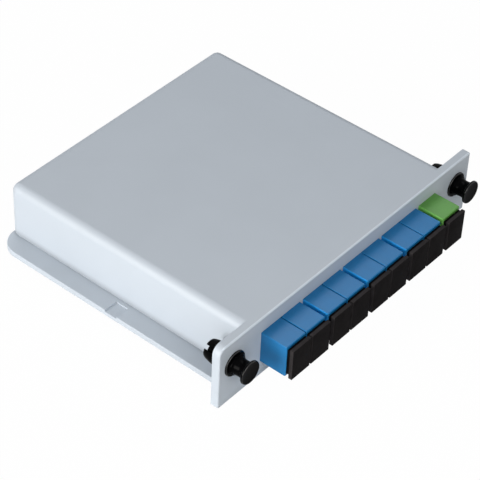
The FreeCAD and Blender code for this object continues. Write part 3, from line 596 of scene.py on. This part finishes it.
CERAMIC = MouldedPlastic(
    "white_ceramic", (0.82, 0.81, 0.77), 0.12, grain=0.15 * MM, grain_depth=0.0004 * MM,
    mottle=0.02, mottle_size=1.5 * MM, coat=0.5,
)
CONNECTOR_BLUE = MouldedPlastic(
    "blue_connector_plastic", (0.03, 0.19, 0.5), 0.38, mottle=0.05,
    mottle_size=4.0 * MM,
)
CONNECTOR_GREEN = MouldedPlastic(
    "green_connector_plastic", (0.11, 0.4, 0.07), 0.38, mottle=0.05,
    mottle_size=4.0 * MM,
)
BOOT_BLACK = MouldedPlastic(
    "black_boot_rubber", (0.02, 0.02, 0.02), 0.6, grain=0.25 * MM,
    grain_depth=0.006 * MM, mottle=0.1, mottle_size=3.0 * MM, specular=0.3,
)
FIBRE_JACKET = MouldedPlastic(
    "white_fibre_jacket", (0.78, 0.78, 0.74), 0.35, grain=0.3 * MM, mottle=0.03,
    mottle_size=8.0 * MM,
)
SCREW_ZINC = DrawnSteel("zinc_plated_screw", (0.56, 0.56, 0.58), 0.34, (1.0, 1.0, 0.1))
MODULE_STEEL = DrawnSteel("splitter_tube_steel", (0.6, 0.61, 0.63), 0.3)


class Dresser:
    """Gives the carried-over nodes their finishes."""

    SLOTS = {
        "housing": HOUSING, "adapter_blue": BLUE, "adapter_green": GREEN,
        "cap": CAP_BLACK, "latch": LATCH_BLACK, "insert": INSERT_WHITE,
        "ceramic": CERAMIC, "connector": CONNECTOR_BLUE,
        "connector_green": CONNECTOR_GREEN, "steel": SCREW_ZINC,
        "module": MODULE_STEEL, "boot": BOOT_BLACK, "fibre": FIBRE_JACKET,
    }

    def __init__(self) -> None:
        """Build each slot's material once."""
        self.materials = {slot: finish.build() for slot, finish in self.SLOTS.items()}

    def dress(self, piece: bpy.types.Object, slot: str) -> None:
        """Give a new piece one finish.

        Args:
            piece: The piece.
            slot: The record's material slot.
        """
        piece.data.materials.clear()
        piece.data.materials.append(self.materials[slot])

    def dress_nodes(self, record: dict) -> int:
        """Put each node's finish into its object's material slots.

        Args:
            record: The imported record, which names each node's slot.

        Returns:
            How many nodes were dressed.
        """
        count = 0
        for part in record["subparts"]:
            for holder in frame["nodes"][part["node"]].material_slots:
                holder.material = self.materials[part["material_slot"]]
            count += 1
        return count


# ------------------------------------------------------------------ modelling steps
class Along(Enum):
    """The axis that a turned piece is round."""

    DEPTH = (0.0, 1.0, 0.0)
    HEIGHT = (0.0, 0.0, 1.0)


class Side(StrEnum):
    """The end of the panel that a latch is at."""

    LEFT = "left"
    RIGHT = "right"


class Bench:
    """Blender's modelling steps, in the order in which a hand would take them."""

    DOUBLED = 0.0005 * MM   # how near two points are that count as one
    SQUARE_ON = 0.9         # from which share of a direction a face counts as facing it

    @staticmethod
    def take(piece: bpy.types.Object) -> None:
        """Select one piece alone and make it the active one.

        Args:
            piece: The piece to work on.
        """
        bpy.ops.object.select_all(action="DESELECT")
        piece.select_set(True)
        bpy.context.view_layer.objects.active = piece

    @staticmethod
    def block(name: str, low: Vector, high: Vector,
              turn: float = 0.0) -> bpy.types.Object:
        """Add a block between two corners.

        Args:
            name: The piece's name.
            low: Its lowest corner.
            high: Its highest corner.
            turn: Its turn about the axis along Y through its middle, in radians.

        Returns:
            The block, with its place in its mesh.
        """
        bpy.ops.object.select_all(action="DESELECT")
        bpy.ops.mesh.primitive_cube_add(size=1.0, location=(low + high) / 2,
                                        rotation=(0.0, turn, 0.0), scale=high - low)
        piece = bpy.context.object
        piece.name = name
        bpy.ops.object.transform_apply(location=True, rotation=True, scale=True)
        return piece

    @staticmethod
    def turn(name: str, centre: Vector, profile: Sequence[Station],
             along: Along = Along.DEPTH, sides: int = 48,
             hollow: bool = False) -> bpy.types.Object:
        """Turn a piece by extruding a ring from one station to the next.

        Args:
            name: The piece's name.
            centre: The point of the axis from which the stations are measured.
            profile: Radius and distance along the axis of each station, in metres.
            along: The axis.
            sides: How many sides the ring has.
            hollow: Whether the last station is joined to the first, as in a bush.

        Returns:
            The turned piece, closed, with its faces outwards.
        """
        axis = Vector(along.value)
        tilt = (math.pi / 2, 0.0, 0.0) if along is Along.DEPTH else (0.0, 0.0, 0.0)
        radius, place = profile[0]
        bpy.ops.object.select_all(action="DESELECT")
        bpy.ops.mesh.primitive_circle_add(
            vertices=sides, radius=radius, fill_type="NOTHING" if hollow else "TRIFAN",
            location=centre + axis * place, rotation=tilt)
        piece = bpy.context.object
        piece.name = name
        bpy.ops.object.transform_apply(location=True, rotation=True, scale=True)
        bpy.ops.object.mode_set(mode="EDIT")
        bpy.ops.mesh.select_mode(type="VERT")
        bpy.ops.mesh.select_all(action="SELECT")
        for wider, further in profile[1:]:
            bpy.ops.mesh.extrude_region_move(
                TRANSFORM_OT_translate={"value": axis * (further - place)})
            growth = wider / radius
            bpy.ops.transform.resize(
                value=tuple(1.0 if step else growth for step in axis),
                center_override=centre + axis * further)
            radius, place = wider, further
        bpy.ops.object.mode_set(mode="OBJECT")
        Bench.close(piece)
        return piece

    @staticmethod
    def pick(piece: bpy.types.Object, test: Callable[[Vector], bool]) -> None:
        """In edit mode, select the faces whose normal passes a test.

        Args:
            piece: The piece in edit mode.
            test: Takes a face's normal.
        """
        bpy.ops.mesh.select_mode(type="FACE")
        bpy.ops.mesh.select_all(action="DESELECT")
        for face in bmesh.from_edit_mesh(piece.data).faces:
            face.select_set(test(face.normal))
        bmesh.update_edit_mesh(piece.data)

    @staticmethod
    def step(centre: Vector, growth: Sequence[float], move: Vector,
             shift: Sequence[float] = (0.0, 0.0, 0.0)) -> None:
        """Extrude the selected face as a step of another size.

        Args:
            centre: The point about which the step is scaled.
            growth: Its size along X, Y and Z against the face that it stands on.
            move: How far it stands out.
            shift: How far it is off the face's middle.
        """
        bpy.ops.mesh.extrude_region_move(TRANSFORM_OT_translate={"value": shift})
        bpy.ops.transform.resize(value=tuple(growth), center_override=centre)
        bpy.ops.mesh.extrude_region_move(TRANSFORM_OT_translate={"value": move})

    @staticmethod
    def close(piece: bpy.types.Object) -> None:
        """Merge a piece's doubled points and turn its faces outwards.

        Args:
            piece: The piece.
        """
        Bench.take(piece)
        bpy.ops.object.mode_set(mode="EDIT")
        bpy.ops.mesh.select_all(action="SELECT")
        bpy.ops.mesh.remove_doubles(threshold=Bench.DOUBLED)
        bpy.ops.mesh.normals_make_consistent(inside=False)
        bpy.ops.object.mode_set(mode="OBJECT")

    @staticmethod
    def cut(piece: bpy.types.Object, tool: bpy.types.Object) -> None:
        """Cut one piece out of another and throw the cutter away.

        Args:
            piece: The piece that is cut.
            tool: The piece that cuts.
        """
        Bench.take(piece)
        cutter = piece.modifiers.new("cut", "BOOLEAN")
        cutter.operation = "DIFFERENCE"
        cutter.solver = "EXACT"
        cutter.object = tool
        bpy.ops.object.modifier_apply(modifier=cutter.name)
        bpy.data.objects.remove(tool, do_unlink=True)

    @staticmethod
    def soften(piece: bpy.types.Object, width: float, rows: int = 3,
               crease: float = 28.0) -> None:
        """Round a piece's sharp edges and shade its faces smooth.

        Args:
            piece: The piece.
            width: The rounding's width in metres.
            rows: How many rows of faces it gets.
            crease: The angle in degrees from which an edge counts as sharp.
        """
        Bench.take(piece)
        round_off = piece.modifiers.new("round_off", "BEVEL")
        round_off.width = width
        round_off.segments = rows
        round_off.limit_method = "ANGLE"
        round_off.angle_limit = math.radians(crease)
        bpy.ops.object.modifier_apply(modifier=round_off.name)
        bpy.ops.object.shade_smooth_by_angle(angle=math.radians(crease))

    @staticmethod
    def copy(piece: bpy.types.Object, name: str, move: Vector) -> bpy.types.Object:
        """Copy a finished piece with a mesh of its own.

        Args:
            piece: The piece.
            name: The copy's name.
            move: How far the copy stands from it.

        Returns:
            The copy, with its place in its mesh.
        """
        Bench.take(piece)
        bpy.ops.object.duplicate(linked=False)
        other = bpy.context.object
        other.name = name
        bpy.ops.transform.translate(value=move)
        bpy.ops.object.transform_apply(location=True, rotation=True, scale=True)
        return other


def fillet(radius: float, corner: Station, start: float, end: float,
           steps: int = 4) -> list[Station]:
    """Work out the stations of a rounded corner of a turned piece.

    Args:
        radius: The rounding's radius.
        corner: The rounding's centre, as radius and distance along the axis.
        start: The angle of its first station in degrees, 0 pointing away from the axis.
        end: The angle of its last station.
        steps: How many steps lie between them.

    Returns:
        The stations, as radius and distance along the axis.
    """
    stations = []
    for index in range(steps + 1):
        angle = math.radians(start + (end - start) * index / steps)
        stations.append((corner[0] + radius * math.cos(angle),
                         corner[1] + radius * math.sin(angle)))
    return stations


# ------------------------------------------------------------------ sub-assemblies
@dataclass
class DustCaps:
    """Nine push-in dust caps: a thick plate, a waist and a hollow square plug.

    The side trim is how far each side of the plate stays inside the box of the cap's
    node, the drops are how far its top and foot lie under the box's, and the sag is how
    far the plug lies under the box's middle.
    """

    dresser: Dresser
    plate: float = 1.35 * MM
    waist: float = 1.15 * MM
    waist_width: float = 8.4 * MM
    waist_height: float = 10.0 * MM
    plug_width: float = 7.3 * MM
    plug_height: float = 8.9 * MM
    plug_lead: float = 0.92
    plug_wall: float = 0.63 * MM
    rounding: float = 0.34 * MM
    side_trim: float = 0.2 * MM
    top_drop: float = 0.6 * MM
    bottom_drop: float = 0.25 * MM
    sag: float = 0.2 * MM

    def build(self) -> int:
        """Model the first cap, copy it to each port and dress the copies.

        Returns:
            How many caps there are.
        """
        low, high = (Vector(corner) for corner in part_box("dust_cap_1"))
        master = self.model(low, high)
        for port in range(1, PORTS + 1):
            move = Vector(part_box(f"dust_cap_{port}")[0]) - low
            name = f"cap_of_port_{port}"
            cap = Bench.copy(master, name, move) if port > 1 else master
            self.dresser.dress(cap, "cap")
            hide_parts(f"dust_cap_{port}")
            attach(cap, f"cap_{port}")
        return PORTS

    def model(self, low: Vector, high: Vector) -> bpy.types.Object:
        """Shape one cap from a block.

        Args:
            low: Lowest corner of the cap's node.
            high: Highest corner of the cap's node.

        Returns:
            The cap.
        """
        back = low.y + self.plate
        foot, top = low.z - self.bottom_drop, high.z - self.top_drop
        left, right = low.x + self.side_trim, high.x - self.side_trim
        cap = Bench.block("cap_of_port_1", Vector((left, low.y, foot)),
                          Vector((right, back, top)))
        plug = Vector(((low.x + high.x) / 2, back, (low.z + high.z) / 2 - self.sag))
        width, height = right - left, top - foot
        bpy.ops.object.mode_set(mode="EDIT")
        Bench.pick(cap, lambda normal: normal.y > Bench.SQUARE_ON)
        Bench.step(plug, (self.waist_width / width, 1.0, self.waist_height / height),
                   Vector((0.0, self.waist, 0.0)),
                   Vector((0.0, 0.0, plug.z - (foot + top) / 2)))
        Bench.step(plug, (self.plug_width / self.waist_width, 1.0,
                          self.plug_height / self.waist_height),
                   Vector((0.0, high.y - back - self.waist, 0.0)))
        bpy.ops.transform.resize(value=(self.plug_lead, 1.0, self.plug_lead),
                                 center_override=plug)
        bpy.ops.mesh.inset(thickness=self.plug_wall)
        bpy.ops.mesh.extrude_region_move(
            TRANSFORM_OT_translate={"value": (0.0, back - high.y, 0.0)})
        bpy.ops.object.mode_set(mode="OBJECT")
        Bench.close(cap)
        Bench.soften(cap, self.rounding)
        return cap


@dataclass
class PushLatch:
    """A push-in latch: a collared bush with four split legs, and its spool knob."""

    side: Side
    dresser: Dresser
    bore: float = 1.97 * MM
    bore_end: float = 1.8 * MM
    bore_lip: float = 0.02 * MM
    collar_round: float = 0.35 * MM
    barrel: float = 3.75 * MM
    bulge: float = 4.05 * MM
    # The legs' outside: how far inside the bulge, and how far behind the legs' foot
    leg_stations: Sequence[Station] = (
        (0.1 * MM, 0.02 * MM), (0.0, 0.5 * MM), (0.0, 3.2 * MM), (0.12 * MM, 4.2 * MM),
        (0.5 * MM, 6.0 * MM))
    # The same at the tips, with how far short of the legs' end
    tip_stations: Sequence[Station] = ((0.85 * MM, 0.15 * MM), (1.1 * MM, 0.0))
    leg_hollow: float = 2.6 * MM
    hollow_lip: Station = (0.15 * MM, 0.2 * MM)
    leg_foot: float = 3.0 * MM
    slit: float = 1.5 * MM
    leg_rounding: float = 0.14 * MM
    # The disc's dished face: how far inside its edge, and how far behind its front
    dish: Sequence[Station] = ((1.5 * MM, 0.1 * MM), (0.75 * MM, 0.06 * MM))
    rim: float = 0.9 * MM
    rim_round: float = 0.32 * MM
    rim_back_round: float = 0.2 * MM
    rim_slope: Station = (0.75 * MM, 0.05 * MM)
    neck: float = 2.9 * MM
    neck_steps: int = 10
    neck_curve: float = 2.3
    flange: float = 3.6 * MM
    flange_back: float = 0.7 * MM
    flange_front: float = 1.5 * MM
    flange_slope: float = 0.35 * MM
    flange_round: float = 0.15 * MM
    flange_edge: Station = (0.08 * MM, 0.05 * MM)
    stem: float = 1.87 * MM
    head: float = 2.3 * MM
    head_length: float = 2.6 * MM
    head_edge: Station = (0.1 * MM, 0.12 * MM)
    head_round: float = 0.85 * MM
    head_flat: float = 0.9 * MM
    knob_crease: float = 40.0

    def build(self) -> None:
        """Model both pieces, dress them and put them on their bodies."""
        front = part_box("housing_shell")[0][1]
        bush_low, bush_high = (Vector(c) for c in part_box(f"latch_grommet_{self.side}"))
        knob_low, knob_high = (Vector(c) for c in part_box(f"latch_plunger_{self.side}"))
        middle = (bush_low + bush_high) / 2
        centre = Vector((middle.x, front, middle.z))
        bush = self.model_bush(centre, (bush_high.x - bush_low.x) / 2,
                               front - bush_low.y, bush_high.y - front)
        knob = self.model_knob(centre, (knob_high.x - knob_low.x) / 2,
                               front - knob_low.y, knob_high.y - front)
        for piece, node, body in ((bush, "latch_grommet", "housing"),
                                  (knob, "latch_plunger", f"{self.side}_latch")):
            self.dresser.dress(piece, "latch")
            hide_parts(f"{node}_{self.side}")
            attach(piece, body)

    def model_bush(self, centre: Vector, collar: float, reach: float,
                   length: float) -> bpy.types.Object:
        """Turn the bush and split its legs.

        Args:
            centre: Where its axis meets the panel's front.
            collar: The collar's radius.
            reach: How far the collar stands in front of the panel.
            length: How far the legs reach behind the panel's front.

        Returns:
            The bush.
        """
        edge = self.collar_round
        profile = [(self.bore, -reach)]
        profile += fillet(edge, (collar - edge, edge - reach), -90.0, 0.0)
        profile += [(collar, 0.0), (self.barrel, 0.0), (self.barrel, self.leg_foot)]
        profile += [(self.bulge - inside, self.leg_foot + behind)
                    for inside, behind in self.leg_stations]
        profile += [(self.bulge - inside, length - short)
                    for inside, short in self.tip_stations]
        profile += [(self.leg_hollow + self.hollow_lip[0], length),
                    (self.leg_hollow, length - self.hollow_lip[1]),
                    (self.leg_hollow, self.bore_end + self.bore_lip),
                    (self.bore, self.bore_end), (self.bore, -reach)]
        bush = Bench.turn(f"latch_bush_{self.side}", centre, profile, hollow=True)
        for turn in (0.25, 0.75):
            low = centre + Vector((-self.slit / 2, self.leg_foot, -2.0 * collar))
            high = centre + Vector((self.slit / 2, length + MM, 2.0 * collar))
            Bench.cut(bush, Bench.block("slit_tool", low, high, turn * math.pi))
        Bench.close(bush)
        Bench.soften(bush, self.leg_rounding, 2)
        return bush

    def waist(self, wide: float, foot: float, start: float,
              end: float) -> list[Station]:
        """Work out the knob's concave neck.

        Args:
            wide: Its radius behind the disc.
            foot: Its radius at the flange.
            start: Where it begins along the axis.
            end: Where it ends.

        Returns:
            The stations.
        """
        stations = []
        for index in range(self.neck_steps + 1):
            share = index / self.neck_steps
            edge = wide if share < 0.5 else foot
            bow = abs(2.0 * share - 1.0) ** self.neck_curve
            stations.append((self.neck + (edge - self.neck) * bow,
                             start + (end - start) * share))
        return stations

    def model_knob(self, centre: Vector, radius: float, reach: float,
                   length: float) -> bpy.types.Object:
        """Turn the spool knob with its stem and head.

        Args:
            centre: Where its axis meets the panel's front.
            radius: The outer disc's radius.
            reach: How far the knob stands in front of the panel.
            length: How far the head reaches behind the panel's front.

        Returns:
            The knob.
        """
        front, back = self.rim_round, self.rim_back_round
        profile = [(radius - inside, behind - reach) for inside, behind in self.dish]
        profile += fillet(front, (radius - front, front - reach), -90.0, 0.0, 5)
        profile += fillet(back, (radius - back, self.rim - reach - back), 0.0, 80.0, 3)
        profile += self.waist(radius - self.rim_slope[0],
                              self.flange - self.flange_slope,
                              self.rim - reach + self.rim_slope[1], -self.flange_front)
        edge = self.flange_round
        profile += fillet(edge, (self.flange - edge, edge - self.flange_front),
                          -90.0, 0.0, 3)
        neck_side = length - self.head_length
        profile += [(self.flange, -self.flange_back - self.flange_edge[1]),
                    (self.flange - self.flange_edge[0], -self.flange_back),
                    (self.stem, -self.flange_back), (self.stem, neck_side),
                    (self.head - self.head_edge[0], neck_side),
                    (self.head, neck_side + self.head_edge[1]),
                    (self.head, length - self.head_flat)]
        tip = self.head_round
        profile += fillet(tip, (self.head - tip, length - tip), 5.0, 85.0, 5)
        knob = Bench.turn(f"latch_knob_{self.side}", centre, profile)
        Bench.take(knob)
        bpy.ops.object.shade_smooth_by_angle(angle=math.radians(self.knob_crease))
        return knob


@dataclass
class BaseScrews:
    """Four recessed pan-head screws under the base tray, as one piece."""

    dresser: Dresser
    head: float = 2.4 * MM
    head_height: float = 1.0 * MM
    head_flat: float = 0.7 * MM
    head_round: float = 0.45 * MM
    head_edge: float = 0.1 * MM
    core: float = 0.8 * MM
    thread: float = 1.1 * MM
    pitch: float = 0.8 * MM
    # The ridge's height and the place along the pitch, as shares
    ridge: Sequence[tuple[float, float]] = (
        (0.0, 0.0), (1.0, 0.35), (1.0, 0.45), (0.0, 0.8))
    plain_shank: float = 0.3 * MM
    plain_end: float = 1.8 * MM
    point: float = 0.8 * MM
    point_taper: float = 0.8
    point_radius: float = 0.12 * MM
    rounding: float = 0.05 * MM
    crease: float = 50.0
    recess_width: float = 0.6 * MM
    recess_length: float = 2.6 * MM
    recess_depth: float = 0.65 * MM

    def build(self) -> None:
        """Model one screw, copy it to the other corners and join the four."""
        low, high = (Vector(corner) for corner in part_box("base_screws"))
        first = Vector((low.x + self.head, low.y + self.head, low.z))
        screw = self.model(first, high.z - low.z)
        across = Vector((high.x - low.x - 2 * self.head, 0.0, 0.0))
        back = Vector((0.0, high.y - low.y - 2 * self.head, 0.0))
        copies = [Bench.copy(screw, f"screw_copy_{index}", move)
                  for index, move in enumerate((across, back, across + back))]
        Bench.take(screw)
        for copy in copies:
            copy.select_set(True)
        bpy.ops.object.join()
        self.dresser.dress(screw, "steel")
        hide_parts("base_screws")
        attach(screw, "housing")

    def model(self, centre: Vector, length: float) -> bpy.types.Object:
        """Turn one screw and cut the cross into its head.

        Args:
            centre: The middle of its head's flat side.
            length: Its whole length.

        Returns:
            The screw.
        """
        curve, edge = self.head_round, self.head_edge
        profile = [(self.head - self.head_flat, 0.0)]
        profile += fillet(curve, (self.head - curve, curve), -60.0, 0.0)
        profile += [(self.head, self.head_height - edge),
                    (self.head - edge, self.head_height), (self.core, self.head_height)]
        level = self.head_height + self.plain_shank
        while level < length - self.plain_end:
            profile += [(self.core + (self.thread - self.core) * crest,
                         level + self.pitch * share)
                        for crest, share in self.ridge]
            level += self.pitch
        profile += [(self.core * self.point_taper, length - self.point),
                    (self.point_radius, length)]
        screw = Bench.turn("tray_screws", centre, profile, Along.HEIGHT, sides=28)
        half = self.recess_width / 2
        arm = self.recess_length / 2
        for wide, deep in ((half, arm), (arm, half)):
            low = centre + Vector((-wide, -deep, -MM))
            high = centre + Vector((wide, deep, self.recess_depth))
            Bench.cut(screw, Bench.block("recess_tool", low, high))
        Bench.close(screw)
        Bench.soften(screw, self.rounding, 1, self.crease)
        return screw


# ------------------------------------------------------------------ studio
@dataclass(frozen=True)
class SoftBox:
    """A square studio lamp that faces the part."""

    name: str
    towards: Sequence[float]
    distance: float
    size: float
    level: float
    colour: Colour = (1.0, 1.0, 1.0)

    def build(self, centre: Vector) -> None:
        """Hang the lamp.

        Args:
            centre: The point that it faces.
        """
        lamp = bpy.data.lights.new(self.name, "AREA")
        lamp.shape = "SQUARE"
        lamp.size = self.size
        lamp.color = self.colour
        lamp.energy = self.level * (math.pi * self.distance) ** 2
        direction = Vector(self.towards).normalized()
        item = bpy.data.objects.new(self.name, lamp)
        item.location = centre + direction * self.distance
        item.rotation_euler = direction.to_track_quat("Z", "Y").to_euler()
        bpy.context.collection.objects.link(item)


@dataclass(frozen=True)
class Viewpoint:
    """Where the camera stands and how it is turned."""

    place: Sequence[float] = (-0.389361, -0.314246, 0.434936)
    azimuth: float = -51.55
    elevation: float = 41.304
    roll: float = 2.718
    lens: float = 146.8
    sensor: float = 36.0
    nearest: float = 0.02

    def build(self) -> None:
        """Make the camera and use it."""
        turn, rise = math.radians(self.azimuth), math.radians(self.elevation)
        roll = math.radians(self.roll)
        back = Vector((math.sin(turn) * math.cos(rise),
                       -math.cos(turn) * math.cos(rise), math.sin(rise)))
        level = Vector((math.cos(turn), math.sin(turn), 0.0))
        upright = back.cross(level)
        right = math.cos(roll) * level + math.sin(roll) * upright
        up = math.cos(roll) * upright - math.sin(roll) * level
        data = bpy.data.cameras.new("camera")
        data.sensor_width = self.sensor
        data.lens = self.lens
        data.clip_start = self.nearest
        camera = bpy.data.objects.new("camera", data)
        camera.matrix_world = Matrix.Translation(Vector(self.place)) @ Matrix(
            (right, up, back)).transposed().to_4x4()
        bpy.context.collection.objects.link(camera)
        bpy.context.scene.camera = camera


@dataclass
class Studio:
    """A pale floor, soft lamps, an even surround and the camera."""

    floor_size: float = 8.0
    floor_gap: float = 0.1 * MM
    floor_colour: Colour = (0.86, 0.87, 0.88)
    floor_glow: float = 0.985
    white: Sequence[float] = (1.0, 1.0, 1.0, 1.0)
    ambient: Colour = (0.95, 0.98, 1.0)
    ambient_level: float = 0.17
    lamps: Sequence[SoftBox] = (
        SoftBox("left_lamp", (-0.95, 0.2, 0.24), 1.2, 0.7, 1.11, (1.0, 0.98, 0.945)),
        SoftBox("overhead_lamp", (0.4, 0.42, 0.84), 1.0, 0.55, 0.24, (0.92, 0.95, 1.0)),
        SoftBox("front_lamp", (-0.4, -0.9, 0.5), 0.65, 0.4, 0.38, (1.0, 0.98, 0.94)),
    )
    viewpoint: Viewpoint = field(default_factory=Viewpoint)

    def build(self, low: Vector, high: Vector) -> None:
        """Set up the stage round the part.

        Args:
            low: Lowest corner of the part.
            high: Highest corner of the part.
        """
        self.make_floor(low.z - self.floor_gap)
        self.make_surround()
        centre = (low + high) / 2
        for lamp in self.lamps:
            lamp.build(centre)
        self.viewpoint.build()
        bpy.context.scene.view_settings.view_transform = "Standard"

    def make_floor(self, height: float) -> None:
        """Lay the floor.

        Args:
            height: Its place along Z.
        """
        bpy.ops.mesh.primitive_plane_add(size=self.floor_size,
                                         location=(0.0, 0.0, height))
        floor = bpy.context.object
        floor.name = "studio_floor"
        graph = Graph(bpy.data.materials.new("studio_floor_paint"))
        seen = graph.signal("ShaderNodeLightPath", output="Is Camera Ray")
        paint = graph.node("ShaderNodeBsdfDiffuse", None,
                           {"Color": (*self.floor_colour, 1.0)})
        glow = graph.node("ShaderNodeEmission", None, {"Color": self.white})
        mixed = graph.node("ShaderNodeMixShader", None, {
            0: seen * self.floor_glow, 1: paint.outputs[0], 2: glow.outputs[0]})
        clear = graph.node("ShaderNodeBsdfTransparent")
        below = graph.signal("ShaderNodeNewGeometry", output="Backfacing")
        surface = graph.node("ShaderNodeMixShader", None, {
            0: below * seen, 1: mixed.outputs[0], 2: clear.outputs[0]})
        floor.data.materials.append(graph.finish(surface.outputs[0]))

    def make_surround(self) -> None:
        """Light the part evenly from all round, and show white behind it."""
        world = bpy.data.worlds.new("studio_surround")
        bpy.context.scene.world = world
        graph = Graph(world)
        rays = graph.node("ShaderNodeLightPath")
        camera, glossy, through = (Signal(graph, rays.outputs[f"Is {way} Ray"])
                                   for way in ("Camera", "Glossy", "Transmission"))
        soft = graph.node("ShaderNodeBackground", None, {
            "Color": (*self.ambient, 1.0), "Strength": self.ambient_level})
        white = graph.node("ShaderNodeBackground", None, {"Color": self.white})
        mixed = graph.node("ShaderNodeMixShader", None, {
            0: camera.higher(glossy).higher(through), 1: soft.outputs[0],
            2: white.outputs[0]})
        graph.finish(mixed.outputs[0])


# ------------------------------------------------------------------ main
def save_size() -> None:
    """Update the scene's view layer.
    """
    bpy.context.view_layer.update()


def main() -> None:
    """Dress the part, set the stage and report each step."""
    logging.basicConfig(level=logging.INFO, format="%(name)s: %(message)s")
    dresser = Dresser()
    log.info("dressed %d nodes", dresser.dress_nodes(frame["record"]))
    log.info("modelled %d dust caps", DustCaps(dresser).build())
    for side in Side:
        PushLatch(side, dresser).build()
        log.info("modelled the %s latch", side)
    BaseScrews(dresser).build()
    log.info("modelled the base screws")
    Studio().build(*CAD_BOX)
    log.info("studio ready")
    save_size()


if __name__ == "__main__":
    main()
